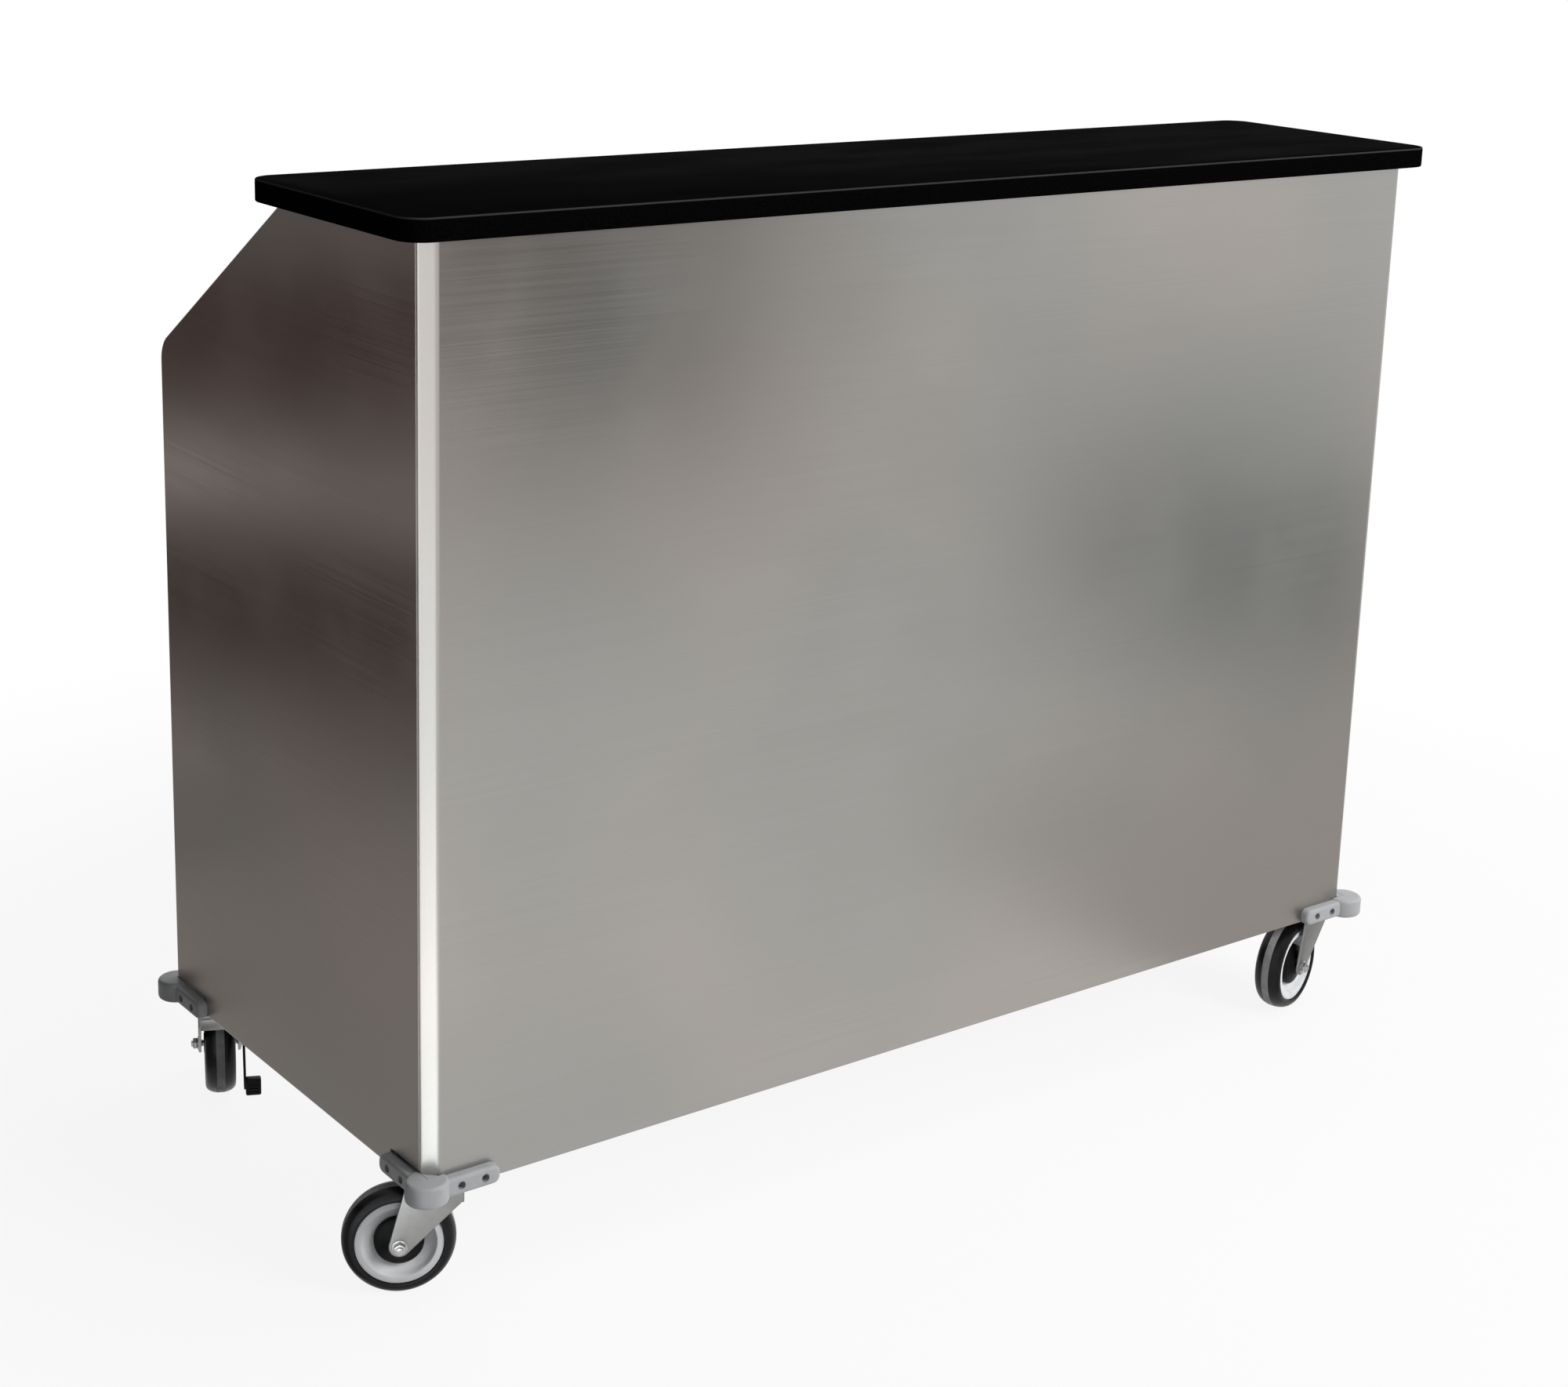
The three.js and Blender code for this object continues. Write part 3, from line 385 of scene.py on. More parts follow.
# Corner hinges: long stainless leaves with rolled knuckles on a bright steel pin, fixed with a row of
# low rivets to the front liner and to each end liner.
def bright_steel():
    """Bright plated steel with fine turning rings and a little handling haze."""
    finish, surface, place = new_finish("bright_plated_steel", {"Metallic": 1.0})
    haze = mottle(place, 60, 3.0)
    rings = mottle(stretched(place, (900, 900, 900)), 1.0, 1.0)
    clean = (0.46, 0.46, 0.46, 1)
    hazed = (0.37, 0.37, 0.365, 1)
    blended(between(haze, 0.35, 0.7), clean, hazed).feed(surface, "Base Color")
    between(haze, 0.3, 0.7, 0.20, 0.30).feed(surface, "Roughness")
    relief(rings, 0.0001, 0.05).feed(surface, "Normal")
    return finish


def rivet_row(name, spots, outward, body):
    """Low domed rivet heads standing on a surface whose outward direction is given."""
    heads = bmesh.new()
    turn = Vector((0, 0, 1)).rotation_difference(Vector(outward)).to_matrix().to_4x4()
    for spot in spots:
        place = Matrix.Translation(spot) @ turn @ Matrix.Translation((0, 0, rivet_height / 2))
        sizes = {"radius1": rivet_radius, "radius2": rivet_crown, "depth": rivet_height}
        bmesh.ops.create_cone(heads, cap_ends=True, segments=12, matrix=place, **sizes)
    make_piece(name, heads, bright, body, "bright_steel", crease=rivet_crease)


bright = bright_steel()
rivet_radius = 0.0042
rivet_crown = 0.6 * rivet_radius
rivet_height = 0.0018
rivet_crease = 60
lowest_rivet = 0.25
rivet_spacing = 0.14
rivet_heights = [lowest_rivet + rivet_spacing * step for step in range(7)]
hinge_x = 0.7027
hinge_y = -0.2982
leaf_middle = 0.018
leaf_thickness = 0.002
front_leaf_y = -0.3045 + leaf_thickness
end_leaf_x = 0.709 - leaf_thickness
hinge_steel = brushed_stainless("hinge_steel", (brush_fine, brush_fine, brush_long))
for side, sign in (("left", -1), ("right", 1)):
    dress(hinge_steel, f"hinge_front_leaf_{side}", f"hinge_end_leaf_{side}")
    dress(bright, f"hinge_pin_{side}")
    front_spots = [(sign * (hinge_x - leaf_middle), front_leaf_y, z) for z in rivet_heights]
    rivet_row(f"front_leaf_rivets_{side}", front_spots, (0, 1, 0), "front_unit")
    end_spots = [(sign * end_leaf_x, hinge_y + leaf_middle, z) for z in rivet_heights]
    rivet_row(f"end_leaf_rivets_{side}", end_spots, (-sign, 0, 0), f"end_panel_{side}")


# Work shelf: a thin laminated drop leaf behind the front panel. A steel leaf and a ledger carry it on a
# long pin, and two plated arms swing out from the end panels under it.
shelf_low, shelf_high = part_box("work_shelf")
leaf = bmesh.new()
block(leaf, shelf_low, shelf_high)
shelf_arris = 0.0016
rounded(leaf, leaf.edges[:], shelf_arris, 3)
shelf_shine = 0.12
shelf_laminate = black_laminate("black_shelf_laminate", shelf_shine)
make_piece("shelf_board", leaf, shelf_laminate, "work_shelf", "black_laminate", "work_shelf")
dress(zinc, "shelf_ledger", "shelf_hinge_leaf")
dress(bright, "shelf_hinge_pin")
for side in ("left", "right"):
    dress(zinc, f"support_mount_{side}", f"support_arm_{side}")


# Corner shoes and bumpers: plated steel shoes close the bottom corners, and grey moulded bumpers wrap
# them. A bumper has a thick round nose at the corner and two slimmer legs, each with two sunk screws.
def moulded_plastic(name, body_tone, scuff_tone, shine):
    """Moulded plastic: fine pebble grain and rubbed patches."""
    finish, surface, place = new_finish(name, {"Specular IOR Level": shine})
    pebble = mottle(place, 850, 2.0)
    rub = mottle(place, 34, 4.0)
    tone = blended(between(rub, 0.52, 0.72, 0.0, 0.8), body_tone, scuff_tone)
    tone.feed(surface, "Base Color")
    rough = between(rub, 0.3, 0.7, 0.32, 0.46) + pebble * 0.05
    rough.feed(surface, "Roughness")
    relief(pebble, 0.0003, 0.16).feed(surface, "Normal")
    return finish


def bumper_leg(shape):
    """One leg along +X from the corner at the origin, standing proud towards -Y, with a round end."""
    block(shape, (leg_start, -bumper_proud, leg_low), (bumper_leg_length, -bumper_fit, leg_high))
    tip = {vert for vert in shape.verts if vert.co.x > bumper_leg_length - 1e-4}
    ends = []
    for edge in shape.edges:
        heights = [vert.co.z for vert in edge.verts]
        if tip.issuperset(edge.verts) and abs(heights[0] - heights[1]) < 1e-6:
            ends.append(edge)
    rounded(shape, ends, tip_round, 6)
    outer = {vert for vert in shape.verts if vert.co.y < -bumper_proud + 1e-4}
    rounded(shape, [edge for edge in shape.edges if outer.issuperset(edge.verts)], leg_lip, 4)
    for spot in screw_spots:
        for cut_x in (spot - hole_patch, spot + hole_patch):
            cut_all(shape, (cut_x, 0, 0), (1, 0, 0))
    for cut_z in (leg_middle - hole_patch, leg_middle + hole_patch):
        cut_all(shape, (0, 0, cut_z), (0, 0, 1))
    for spot in screw_spots:
        sink_hole(shape, Vector((spot, -bumper_proud, leg_middle)))


def cut_all(shape, point, direction):
    parts = shape.verts[:] + shape.edges[:] + shape.faces[:]
    bmesh.ops.bisect_plane(shape, geom=parts, dist=1e-7, plane_co=point, plane_no=direction)


def sink_hole(shape, spot):
    """Turns the square patch at the spot into a round hole sunk into the leg."""
    patch = min(shape.faces, key=lambda face: (face.calc_center_median() - spot).length)
    bmesh.ops.inset_region(shape, faces=[patch], thickness=hole_patch - hole_radius)
    eased(shape, patch.verts[:], hole_round, 3)
    hole = min(shape.faces, key=lambda face: (face.calc_center_median() - spot).length)
    pulled(shape, hole, (0, hole_depth, 0))
    if hole.is_valid:
        bmesh.ops.delete(shape, geom=[hole], context="FACES_ONLY")


def joined(shape, other):
    """Adds another shape to this one."""
    spare = bpy.data.meshes.new("spare")
    other.to_mesh(spare)
    other.free()
    shape.from_mesh(spare)
    bpy.data.meshes.remove(spare)


bumper_fit = 0.0003
bumper_proud = 0.013
bumper_leg_length = 0.086
bumper_bottom = 0.135
nose_height = 0.026
nose_top = bumper_bottom + nose_height
nose_radius = 0.024
nose_steps = 30
leg_height = 0.022
leg_middle = bumper_bottom + nose_height / 2
leg_low = leg_middle - leg_height / 2
leg_high = leg_middle + leg_height / 2
leg_start = 0.004
leg_lip = 0.0045
tip_round = 0.009
nose_lip = 0.0048
turn_fill = edge_turn - 2 * bumper_fit
screw_spots = (0.036, 0.066)
hole_patch = 0.006
hole_radius = 0.0042
hole_round = 0.95 * hole_radius
hole_depth = 0.009
head_stand = 0.0012
screw_head = {"radius1": 0.0036, "radius2": 0.0022, "depth": 0.002}
pebble_grey = (0.372, 0.382, 0.394, 1)
rubbed_grey = (0.310, 0.316, 0.325, 1)
bumper_shine = 0.45
bumper_grey = moulded_plastic("grey_bumper_plastic", pebble_grey, rubbed_grey, bumper_shine)
swap_sides = Matrix(((0, 1, 0, 0), (1, 0, 0, 0), (0, 0, 1, 0), (0, 0, 0, 1)))
casters = ("front_left", "front_right", "rear_left", "rear_right")


def corner_place(place):
    """Puts a shape drawn for the front left corner at one of the four corners."""
    x_sign = 1 if place.endswith("right") else -1
    y_sign = 1 if place.startswith("rear") else -1
    corner = Vector((x_sign * half_width, end_rear if y_sign > 0 else front_y, 0))
    return Matrix.Translation(corner) @ Matrix.Diagonal((-x_sign, -y_sign, 1, 1))


def carrier(place):
    """The body that holds a corner: the front unit, or the end panel at that side."""
    return "front_unit" if place.startswith("front") else f"end_panel_{place.split('_')[1]}"


for place in casters:
    bumper = bmesh.new()
    bumper_leg(bumper)
    leg_parts = bumper.verts[:] + bumper.edges[:] + bumper.faces[:]
    twin = bmesh.ops.duplicate(bumper, geom=leg_parts)["geom"]
    twin_verts = [part for part in twin if isinstance(part, bmesh.types.BMVert)]
    bmesh.ops.transform(bumper, matrix=swap_sides, verts=twin_verts)
    nose = bmesh.new()
    nose_section = [
        (bumper_fit, bumper_bottom),
        (nose_radius, bumper_bottom),
        (nose_radius, nose_top),
        (bumper_fit, nose_top),
    ]
    flat_face(nose, [(-bumper_fit, radius, z) for radius, z in nose_section])
    eased(nose, [vert for vert in nose.verts if vert.co.y > nose_radius - 1e-6], nose_lip, 5)
    turn = {"cent": (-bumper_fit, -bumper_fit, 0), "axis": (0, 0, 1), "angle": 1.5 * math.pi}
    swept = nose.faces[:] + nose.edges[:] + nose.verts[:]
    bmesh.ops.spin(nose, geom=swept, steps=nose_steps, use_duplicate=False, **turn)
    joined(bumper, nose)
    if place.startswith("front"):
        filler = [(bumper_fit, bumper_fit), (turn_fill, bumper_fit), (bumper_fit, turn_fill)]
        wedge = flat_face(bumper, [(x, y, bumper_bottom) for x, y in filler])
        pulled(bumper, wedge, (0, 0, nose_height))
    bmesh.ops.transform(bumper, matrix=corner_place(place), verts=bumper.verts)
    holder = carrier(place)
    make_piece(f"bumper_guard_{place}", bumper, bumper_grey, holder, "grey_plastic", f"bumper_{place}")
    screws = bmesh.new()
    for spot in screw_spots:
        head = Matrix.Translation((spot, -bumper_proud + hole_depth - head_stand, leg_middle))
        head = head @ Matrix.Rotation(math.pi / 2, 4, "X")
        for side_turn in (Matrix.Identity(4), swap_sides):
            placed = corner_place(place) @ side_turn @ head
            bmesh.ops.create_cone(screws, cap_ends=True, segments=12, matrix=placed, **screw_head)
    make_piece(f"bumper_screws_{place}", screws, bright, holder, "bright_steel")
    dress(zinc, f"corner_shoe_{place}", f"caster_race_{place}")


# Caster forks: pressed and plated steel, a flat crown riveted to the race, a short web folded down in
# front, and two tapering legs, each ending in a rounded toe that holds the axle.
joints = {joint["name"]: joint for joint in frame["joints"]}


def caster_place(place):
    """Puts a shape drawn with the swivel axis on Z and the wheel trailing along +X at a caster."""
    across = Vector(joints[f"roll_{place}"]["axis"])
    trailing = Vector((across.y, -across.x, 0))
    x, y, _ = joints[f"swivel_{place}"]["pos_m"]
    turn = Matrix((trailing, across, Vector((0, 0, 1)))).transposed().to_4x4()
    return Matrix.Translation((x, y, 0)) @ turn


def arc_chain(shape, start, centre, angle, steps):
    """Vertices along an arc in the XZ plane, from the start point round the centre."""
    first = shape.verts.new(start)
    before = set(shape.verts)
    bmesh.ops.spin(shape, geom=[first], cent=centre, axis=(0, 1, 0), angle=angle, steps=steps)
    added = [vert for vert in shape.verts if vert not in before]
    return [first] + added


def fork_leg(shape, inner_y, outer_y):
    toe = Vector((trail, inner_y, wheel_radius))
    lead_away = Vector((-crown_ahead, inner_y, shoulder_top)) - toe
    tail_away = Vector((leg_behind, inner_y, crown_top)) - toe
    lead_angle = math.atan2(lead_away.z, lead_away.x) + math.acos(toe_radius / lead_away.length)
    tail_angle = math.atan2(tail_away.z, tail_away.x) - math.acos(toe_radius / tail_away.length)
    sweep = tail_angle + 2 * math.pi - lead_angle
    start = toe + toe_radius * Vector((math.cos(lead_angle), 0, math.sin(lead_angle)))
    toe_verts = arc_chain(shape, start, toe, -sweep, toe_steps)
    upper = [(leg_behind, crown_top), (-crown_ahead, crown_top), (-crown_ahead, shoulder_top)]
    top_verts = [shape.verts.new((x, inner_y, z)) for x, z in upper]
    side = shape.faces.new(toe_verts + top_verts)
    outside = pulled(shape, side, (0, outer_y - inner_y, 0))
    rounded(shape, outside.edges[:], leg_rim, 3)


trail = 0.038
wheel_radius = 0.0635
crown_top = 0.1325
crown_thickness = 0.005
crown_ahead = 0.033
crown_behind = 0.012
leg_behind = 0.032
shoulder_top = crown_top - 0.016
toe_radius = 0.012
toe_steps = 12
leg_rim = 0.0014
leg_inner = 0.023
leg_outer = 0.0265
crown_lap = 0.001
crown_clear = 0.0002
web_drop = 0.020
web_thickness = 0.0025
plate_rim = 0.001
fork_light = (0.300, 0.297, 0.287, 1)
fork_dark = (0.245, 0.244, 0.238, 1)
fork_steel = zinc_plate("fork_plated_steel", fork_light, fork_dark)
for place in casters:
    fork = bmesh.new()
    fork_leg(fork, leg_inner, leg_outer)
    other_leg = bmesh.new()
    fork_leg(other_leg, -leg_inner, -leg_outer)
    joined(fork, other_leg)
    crown_low = (-crown_ahead, -leg_inner - crown_lap, crown_top - crown_thickness)
    crown_high = (crown_behind, leg_inner + crown_lap, crown_top - crown_clear)
    web_low = (-crown_ahead, -leg_inner - crown_lap, crown_top - web_drop)
    web_high = (-crown_ahead + web_thickness, leg_inner + crown_lap, crown_top - crown_thickness)
    plates = block(fork, crown_low, crown_high) + block(fork, web_low, web_high)
    plate_edges = {edge for face in plates for edge in face.edges}
    rounded(fork, list(plate_edges), plate_rim, 2)
    bmesh.ops.transform(fork, matrix=caster_place(place), verts=fork.verts)
    caster, fork_node = f"caster_{place}", f"caster_fork_{place}"
    make_piece(f"fork_{place}", fork, fork_steel, caster, "zinc_steel", fork_node)


# Axle bolts: bright plated bolts with a washer and a hexagon nut outside each fork leg. A bolt stays
# still in its fork, and the wheel turns on it.
def disc(shape, radius, y0, y1, segments, lip):
    """A short round or hexagonal bar across the wheel, with its rims eased."""
    place = Matrix.Translation((0, (y0 + y1) / 2, 0)) @ Matrix.Rotation(math.pi / 2, 4, "X")
    sizes = {"radius1": radius, "radius2": radius, "depth": abs(y1 - y0)}
    bar = bmesh.ops.create_cone(shape, cap_ends=True, segments=segments, matrix=place, **sizes)
    edges = {edge for vert in bar["verts"] for edge in vert.link_edges}
    rims = [edge for edge in edges if abs(edge.verts[0].co.y - edge.verts[1].co.y) < 1e-6]
    rounded(shape, rims, lip, 2)


washer_radius = 0.0088
washer_thickness = 0.0010
washer_lip = 0.0003
nut_radius = 0.0074
nut_thickness = 0.0058
nut_lip = 0.0009
bolt_radius = 0.0042
bolt_past_nut = 0.0022
bolt_lip = 0.001
nut_start = leg_outer + washer_thickness
nut_end = nut_start + nut_thickness
bolt_end = nut_end + bolt_past_nut
for place in casters:
    bolt = bmesh.new()
    for sign in (-1, 1):
        disc(bolt, washer_radius, sign * leg_outer, sign * nut_start, 24, washer_lip)
        disc(bolt, nut_radius, sign * nut_start, sign * nut_end, 6, nut_lip)
    disc(bolt, bolt_radius, -bolt_end, bolt_end, 20, bolt_lip)
    axle = caster_place(place) @ Matrix.Translation((trail, 0, wheel_radius))
    bmesh.ops.transform(bolt, matrix=axle, verts=bolt.verts)
    caster, bolt_node = f"caster_{place}", f"axle_bolt_{place}"
    make_piece(f"axle_{place}", bolt, bright, caster, "bright_steel", bolt_node)


# Wheels: a black rubber tyre, worn grey where it rolls, on a pale grey moulded centre. The centre is
# dished between its rim and a black hub cap that hides the bearing.
def turned(shape, profile, steps):
    """A ring turned about the axle from one half of a section, mirrored across the wheel."""
    full = profile + [(radius, -y) for radius, y in reversed(profile)]
    verts = [shape.verts.new((radius, y, 0)) for radius, y in full]
    edges = [shape.edges.new((verts[i - 1], verts[i])) for i in range(len(verts))]
    around = {"cent": (0, 0, 0), "axis": (0, 1, 0), "angle": 2 * math.pi}
    bmesh.ops.spin(shape, geom=verts + edges, steps=steps, use_merge=True, **around)


def tread_rubber():
    """Black rubber: dusty in patches, with a fine matt grain."""
    finish, surface, place = new_finish("tyre_rubber", {"Specular IOR Level": 0.20})
    grain = mottle(place, 700, 2.0)
    dust = mottle(place, 48, 4.0)
    soot = (0.0030, 0.0030, 0.0033, 1)
    dusty = (0.0105, 0.0100, 0.0096, 1)
    blended(between(dust, 0.45, 0.75, 0.0, 0.8), soot, dusty).feed(surface, "Base Color")
    rough = between(dust, 0.3, 0.7, 0.26, 0.36) + grain * 0.05
    rough.feed(surface, "Roughness")
    relief(grain, 0.0003, 0.15).feed(surface, "Normal")
    return finish


def worn_tread():
    """Rubber worn grey where the tyre rolls, with dust trodden into it."""
    finish, surface, place = new_finish("worn_tread_rubber", {"Specular IOR Level": 0.15})
    dust = mottle(place, 60, 4.0)
    worn = (0.380, 0.380, 0.388, 1)
    dusty = (0.290, 0.290, 0.295, 1)
    blended(between(dust, 0.35, 0.65), worn, dusty).feed(surface, "Base Color")
    between(dust, 0.3, 0.7, 0.50, 0.62).feed(surface, "Roughness")
    relief(dust, 0.0003, 0.15).feed(surface, "Normal")
    return finish


tyre_half = [
    (0.0498, 0.0176),
    (0.0510, 0.0187),
    (0.0528, 0.0190),
    (0.0552, 0.0186),
    (0.0577, 0.0172),
    (0.0600, 0.0147),
    (0.0618, 0.0112),
    (0.0629, 0.0074),
    (0.0633, 0.0054),
    (0.0631, 0.0053),
]
band_half = [
    (0.0628, 0.0052),
    (0.0633, 0.0052),
    (0.0635, 0.0024),
]
rim_half = [
    (0.0283, 0.0058),
    (0.0300, 0.0062),
    (0.0372, 0.0098),
    (0.0398, 0.0128),
    (0.0410, 0.0158),
    (0.0420, 0.0167),
    (0.0482, 0.0168),
    (0.0492, 0.0164),
    (0.0495, 0.0154),
]
hub_half = [
    (0.0054, 0.0198),
    (0.0125, 0.0198),
    (0.0131, 0.0190),
    (0.0220, 0.0150),
    (0.0258, 0.0138),
    (0.0276, 0.0120),
    (0.0280, 0.0100),
]
wheel_steps = 72
rubber = tread_rubber()
worn_rubber = worn_tread()
pale_grey = (0.735, 0.750, 0.765, 1)
worn_grey = (0.645, 0.655, 0.665, 1)
wheel_shine = 0.35
pale_plastic = moulded_plastic("pale_wheel_plastic", pale_grey, worn_grey, wheel_shine)
soft_black = (0.0035, 0.0035, 0.0038, 1)
rubbed_black = (0.0080, 0.0080, 0.0083, 1)
black_shine = 0.10
black_plastic = moulded_plastic("black_moulded_plastic", soft_black, rubbed_black, black_shine)
for place in casters:
    axle = caster_place(place) @ Matrix.Translation((trail, 0, wheel_radius))
    rings = (
        ("tread", tyre_half, rubber, "tyre_rubber", "tyre"),
        ("tread_band", band_half, worn_rubber, "tyre_rubber", ""),
        ("wheel_centre", rim_half, pale_plastic, "pale_rim", "wheel_rim"),
        ("hub_cap", hub_half, black_plastic, "black_plastic", "wheel_hub"),
    )
    for piece_name, profile, finish, slot, node in rings:
        ring = bmesh.new()
        turned(ring, profile, wheel_steps)
        bmesh.ops.transform(ring, matrix=axle, verts=ring.verts)
        nodes = [f"{node}_{place}"] if node else []
        make_piece(f"{piece_name}_{place}", ring, finish, f"wheel_{place}", slot, *nodes)


# Brake pedals: on the rear casters, a black moulded foot pad on a flat arm outside the fork. Its cross
# pin turns a cam that presses on the tyre.
brake_ahead = 0.018
brake_height = 0.115
pedal_reach = 0.040
pedal_drop = 0.066
arm_radius = 0.007
arm_steps = 10
arm_gap = 0.0005
arm_thickness = 0.003
arm_rim = 0.0006
arm_outer = -leg_outer - arm_gap
arm_face = arm_outer - arm_thickness
pad_length = 0.012
pad_width = 0.018
pad_height = 0.022
pad_lap = 0.001
pad_lip = 0.0022
rib_count = 4
rib_spacing = 0.0046
rib_half = 0.0009
rib_proud = 0.0008
rib_sunk = 0.001
rib_outer_margin = 0.003
rib_inner_margin = 0.004
rib_lip = 0.0005
pin_radius = 0.004
pin_proud = 0.0012
pin_lip = 0.0005
cam_radius = 0.0065
cam_half = 0.012
cam_lip = 0.0008
for place in casters[2:]:
    pedal = bmesh.new()
    reach = Vector((-pedal_reach, 0, -pedal_drop))
    across = Vector((reach.z, 0, -reach.x)).normalized() * arm_radius
    depth = Vector((0, arm_face, 0))
    near = arc_chain(pedal, across + depth, depth, math.pi, arm_steps)
    far = arc_chain(pedal, reach - across + depth, reach + depth, math.pi, arm_steps)
    arm_side = pedal.faces.new(near + far)
    pulled(pedal, arm_side, (0, arm_outer - arm_face, 0))
    rims = [edge for edge in pedal.edges if abs(edge.verts[0].co.y - edge.verts[1].co.y) < 1e-6]
    rounded(pedal, rims, arm_rim, 2)
    pad_low = Vector((-pedal_reach - pad_length, arm_face - pad_width, -pedal_drop - pad_height / 2))
    pad_high = Vector((-pedal_reach, arm_face + pad_lap, -pedal_drop + pad_height / 2))
    pad = block(pedal, pad_low, pad_high)
    rounded(pedal, list({edge for face in pad for edge in face.edges}), pad_lip, 3)
    for rib in range(rib_count):
        rib_z = -pedal_drop + (rib - (rib_count - 1) / 2) * rib_spacing
        low = (pad_low.x - rib_proud, pad_low.y + rib_outer_margin, rib_z - rib_half)
        high = (pad_low.x + rib_sunk, pad_high.y - rib_inner_margin, rib_z + rib_half)
        bar = block(pedal, low, high)
        rounded(pedal, list({edge for face in bar for edge in face.edges}), rib_lip, 2)
    disc(pedal, pin_radius, arm_face - pin_proud, leg_outer, 16, pin_lip)
    disc(pedal, cam_radius, -cam_half, cam_half, 20, cam_lip)
    pivot = caster_place(place) @ Matrix.Translation((-brake_ahead, 0, brake_height))
    bmesh.ops.transform(pedal, matrix=pivot, verts=pedal.verts)
    lever, pedal_node = f"brake_{place}", f"brake_pedal_{place}"
    make_piece(f"pedal_{place}", pedal, black_plastic, lever, "black_plastic", pedal_node)


# Studio: a pale floor in soft light from the front and above. Reflector cards and mats beside the bar,
# out of the camera's sight, are what its steel mirrors: grey bands at the left end, white at the corner.
def stage_sheet(name, corners, finish):
    shape = bmesh.new()
    flat_face(shape, corners)
    mesh = bpy.data.meshes.new(name)
    shape.to_mesh(mesh)
    shape.free()
    mesh.materials.append(finish)
    laid = bpy.data.objects.new(name, mesh)
    bpy.context.scene.collection.objects.link(laid)
    return laid


def is_seen(tree):
    """One for the rays that show the background: to the camera, in gloss and through glass."""
    rays = tree.nodes.new("ShaderNodeLightPath")
    seen = Signal(tree, rays.outputs["Is Camera Ray"])
    for other in ("Is Glossy Ray", "Is Transmission Ray"):
        seen = seen.math("MAXIMUM", seen, Signal(tree, rays.outputs[other]))
    return seen


def pale_floor():
    """Matt pale floor with the faintest unevenness, nearly white where it is seen."""
    finish, surface, place = new_finish("pale_floor", {"Roughness": 0.9, "Specular IOR Level": 0.1})
    clouds = mottle(place, 0.7, 2.0)
    matt = (0.64, 0.64, 0.64, 1)
    chalky = (0.68, 0.68, 0.68, 1)
    blended(between(clouds, 0.3, 0.7), matt, chalky).feed(surface, "Base Color")
    tree = place.tree
    white = place.node("ShaderNodeEmission", {}, {"Color": (1, 1, 1, 1), "Strength": 1.0})
    lit = Signal(tree, surface.outputs["BSDF"])
    away = place.node("ShaderNodeVectorMath", {"operation": "LENGTH"}, {0: place}, 1)
    glow = between(away, near_floor, far_floor, floor_glow, 1.0)
    mixed = place.node("ShaderNodeMixShader", {}, {0: is_seen(tree) * glow, 1: lit, 2: white})
    tree.links.new(mixed.socket, tree.nodes["Material Output"].inputs["Surface"])
    return finish


def glowing_card(name, bands, tint, slant):
    """A card lit in soft bands: each band is the height where it starts and its level.

    The bands fall towards +Y by the slant, and the dimmest ones turn red.
    """
    finish, surface, place = new_finish(name, {"Roughness": 1.0})
    tree = place.tree
    height = place.node("ShaderNodeSeparateXYZ", {}, {"Vector": place}, 2)
    along = place.node("ShaderNodeSeparateXYZ", {}, {"Vector": place}, 1)
    height = height + along * slant
    (_, level), *changes = bands
    glow = height * 0.0 + level
    for change, next_level in changes:
        step = between(height, change - band_blur, change + band_blur)
        glow = glow + step * (next_level - level)
        level = next_level
    colour = blended(between(glow, 0.0, ember_level), ember, tint)
    light = place.node("ShaderNodeEmission", {}, {"Color": colour, "Strength": glow})
    tree.links.new(light.socket, tree.nodes["Material Output"].inputs["Surface"])
    return finish


def set_card(name, corners, bands, tint, slant=0.0):
    card = stage_sheet(name, corners, glowing_card(name, bands, tint, slant))
    card.visible_camera = False
    card.visible_diffuse = False
    card.visible_shadow = False


def standing(x0, y0, x1, y1, height, base=0):
    return [(x0, y0, base), (x1, y1, base), (x1, y1, height), (x0, y0, height)]


def lying(x0, y0, x1, y1):
    return [(x, y, mat_height) for x, y in ((x0, y0), (x1, y0), (x1, y1), (x0, y1))]


floor_reach = 40
floor_glow = 0.89
near_floor = 0.9
far_floor = 2.2
band_blur = 0.05
mat_height = 0.002
floor_corners = [(-1, -1), (1, -1), (1, 1), (-1, 1)]
stage_sheet("floor", [(x * floor_reach, y * floor_reach, 0) for x, y in floor_corners], pale_floor())
ember_level = 0.15
ember = (1.0, 0.20, 0.15, 1)
warm_card = (1.0, 0.925, 0.890, 1)
cool_card = (0.94, 0.975, 1.0, 1)
grey_card = (1.0, 0.985, 0.97, 1)
# The cards' bands are (height, level) pairs. The left ones stand for the room that the left end mirrors.
left_x = -1.3
left_high = 2.0
left_slant = 0.15
left_far_end = 7.0
near_far_card = 1.2
near_far_mat = 1.0
mat_side = -0.79
mat_start = -0.30
edge_start = -0.45
edge_end = -0.22
near_bands = [(0, 0.31), (0.34, 0.03), (0.70, 0.84), (0.76, 0.045), (1.10, 0.25)]
far_bands = [(0, 0.62), (0.34, 0.03), (0.70, 1.40), (0.76, 0.06), (1.10, 0.14)]
near_left = standing(left_x, edge_end, left_x, near_far_card, left_high)
far_left = standing(left_x, near_far_card, left_x, left_far_end, left_high)
edge_left = standing(left_x, edge_start, left_x, edge_end, left_high)
set_card("near_left_card", near_left, near_bands, warm_card, left_slant)
set_card("far_left_card", far_left, far_bands, warm_card, left_slant)
set_card("edge_card", edge_left, [(0, 2.2)], cool_card)
near_mat = lying(left_x, mat_start, mat_side, near_far_mat)
far_mat = lying(left_x, near_far_mat, mat_side, left_far_end)
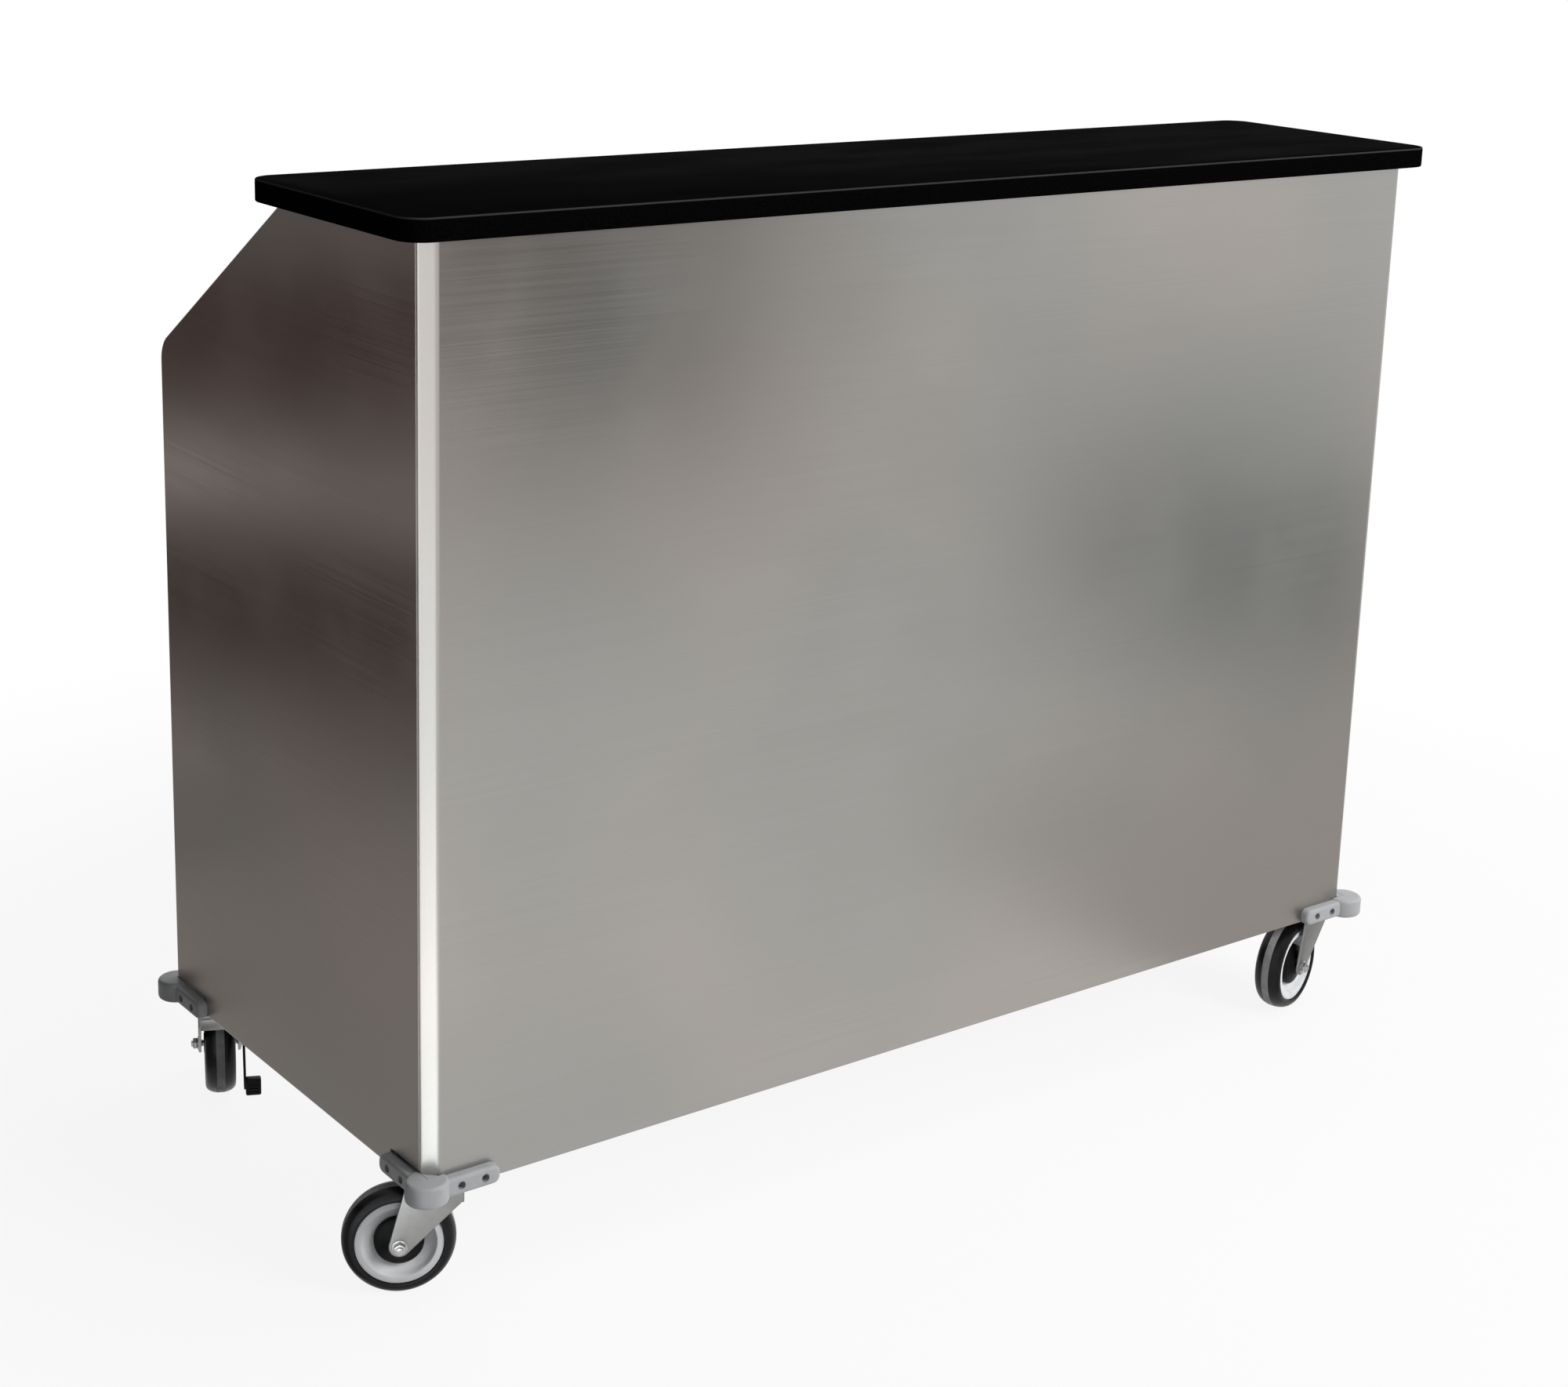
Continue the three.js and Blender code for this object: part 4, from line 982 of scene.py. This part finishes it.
set_card("near_left_mat", near_mat, [(0, 0.32)], warm_card)
set_card("far_left_mat", far_mat, [(0, 0.21)], warm_card)
# These stand for the light beyond the front left corner, which whitens the turned edge of the front.
corner_bands = [(0, 2.3), (0.25, 1.85), (0.65, 1.45)]
set_card("corner_card", standing(-1.75, -0.62, -1.20, -1.25, 2.0), corner_bands, cool_card)
set_card("corner_mat", lying(-1.60, -1.10, -0.84, -0.42), [(0, 2.8)], cool_card)
# These stand for the room that the front mirrors.
right_bands = [(0, 0.55), (0.05, 0.27), (0.42, 0.8)]
set_card("right_card", standing(1.45, -1.75, 2.15, -1.15, 0.75), right_bands, cool_card)
set_card("right_mat", lying(0.6, -1.2, 2.3, -0.36), [(0, 0.62)], grey_card)
front_bands = [(0, 0.75), (0.40, 0.12)]
set_card("front_card", standing(-0.1, -2.5, 1.1, -2.35, 1.6, 0.15), front_bands, grey_card)

world = bpy.data.worlds.new("studio")
world.use_nodes = True
bpy.context.scene.world = world
sky = world.node_tree
sky.nodes.clear()
seen = is_seen(sky)
toward = Signal(sky, sky.nodes.new("ShaderNodeTexCoord").outputs["Generated"])
from_right = toward.node("ShaderNodeSeparateXYZ", {}, {"Vector": toward}, 0)
left_fill = 0.03
right_fill = 0.60
fill_level = between(from_right, -0.5, 0.7, left_fill, right_fill)
backdrop = seen.node("ShaderNodeBackground", {}, {"Color": (1, 1, 1, 1), "Strength": 1.0})
fill = seen.node("ShaderNodeBackground", {}, {"Color": (1, 1, 1, 1), "Strength": fill_level})
mixed = seen.node("ShaderNodeMixShader", {}, {0: seen, 1: fill, 2: backdrop})
world_output = sky.nodes.new("ShaderNodeOutputWorld")
sky.links.new(mixed.socket, world_output.inputs["Surface"])


def soft_lamp(name, position, target, size, power, mirrored):
    lamp = bpy.data.lights.new(name, "AREA")
    lamp.shape = "SQUARE"
    lamp.size = size
    lamp.energy = power
    hung = bpy.data.objects.new(name, lamp)
    aim = (Vector(target) - Vector(position)).to_track_quat("-Z", "Y")
    hung.matrix_world = Matrix.Translation(position) @ aim.to_matrix().to_4x4()
    hung.visible_camera = False
    hung.visible_glossy = mirrored
    bpy.context.scene.collection.objects.link(hung)


bar_middle = (0, 0, 0.6)
soft_lamp("key_lamp", (1.5, -4.2, 3.0), bar_middle, size=2.4, power=190, mirrored=False)
soft_lamp("top_lamp", (1.1, -0.6, 4.4), bar_middle, size=3.0, power=70, mirrored=True)


# Camera: at the photograph's viewing angle, from the front left and a little above the bar top.
view_point = Vector((-2.05272, -2.65722, 1.59264))
view_turn = 0.65316
view_dip = 0.24715
view_roll = 0.03045
focal_pixels = 3434.66
image_width = 2000
frame_shift = -0.12
ahead = Vector((
    math.sin(view_turn) * math.cos(view_dip),
    math.cos(view_turn) * math.cos(view_dip),
    -math.sin(view_dip),
))
level_right = Vector((math.cos(view_turn), -math.sin(view_turn), 0))
level_up = level_right.cross(ahead)
right = math.cos(view_roll) * level_right + math.sin(view_roll) * level_up
up = math.cos(view_roll) * level_up - math.sin(view_roll) * level_right
lens = bpy.data.cameras.new("photo_camera")
lens.sensor_fit = "HORIZONTAL"
lens.sensor_width = 36
lens.lens = lens.sensor_width * focal_pixels / image_width
lens.shift_y = frame_shift
lens.clip_end = 200
camera = bpy.data.objects.new("photo_camera", lens)
facing = Matrix((right, up, -ahead)).transposed().to_4x4()
camera.matrix_world = Matrix.Translation(view_point) @ facing
bpy.context.scene.collection.objects.link(camera)
bpy.context.scene.camera = camera
bpy.context.scene.view_settings.view_transform = "Standard"
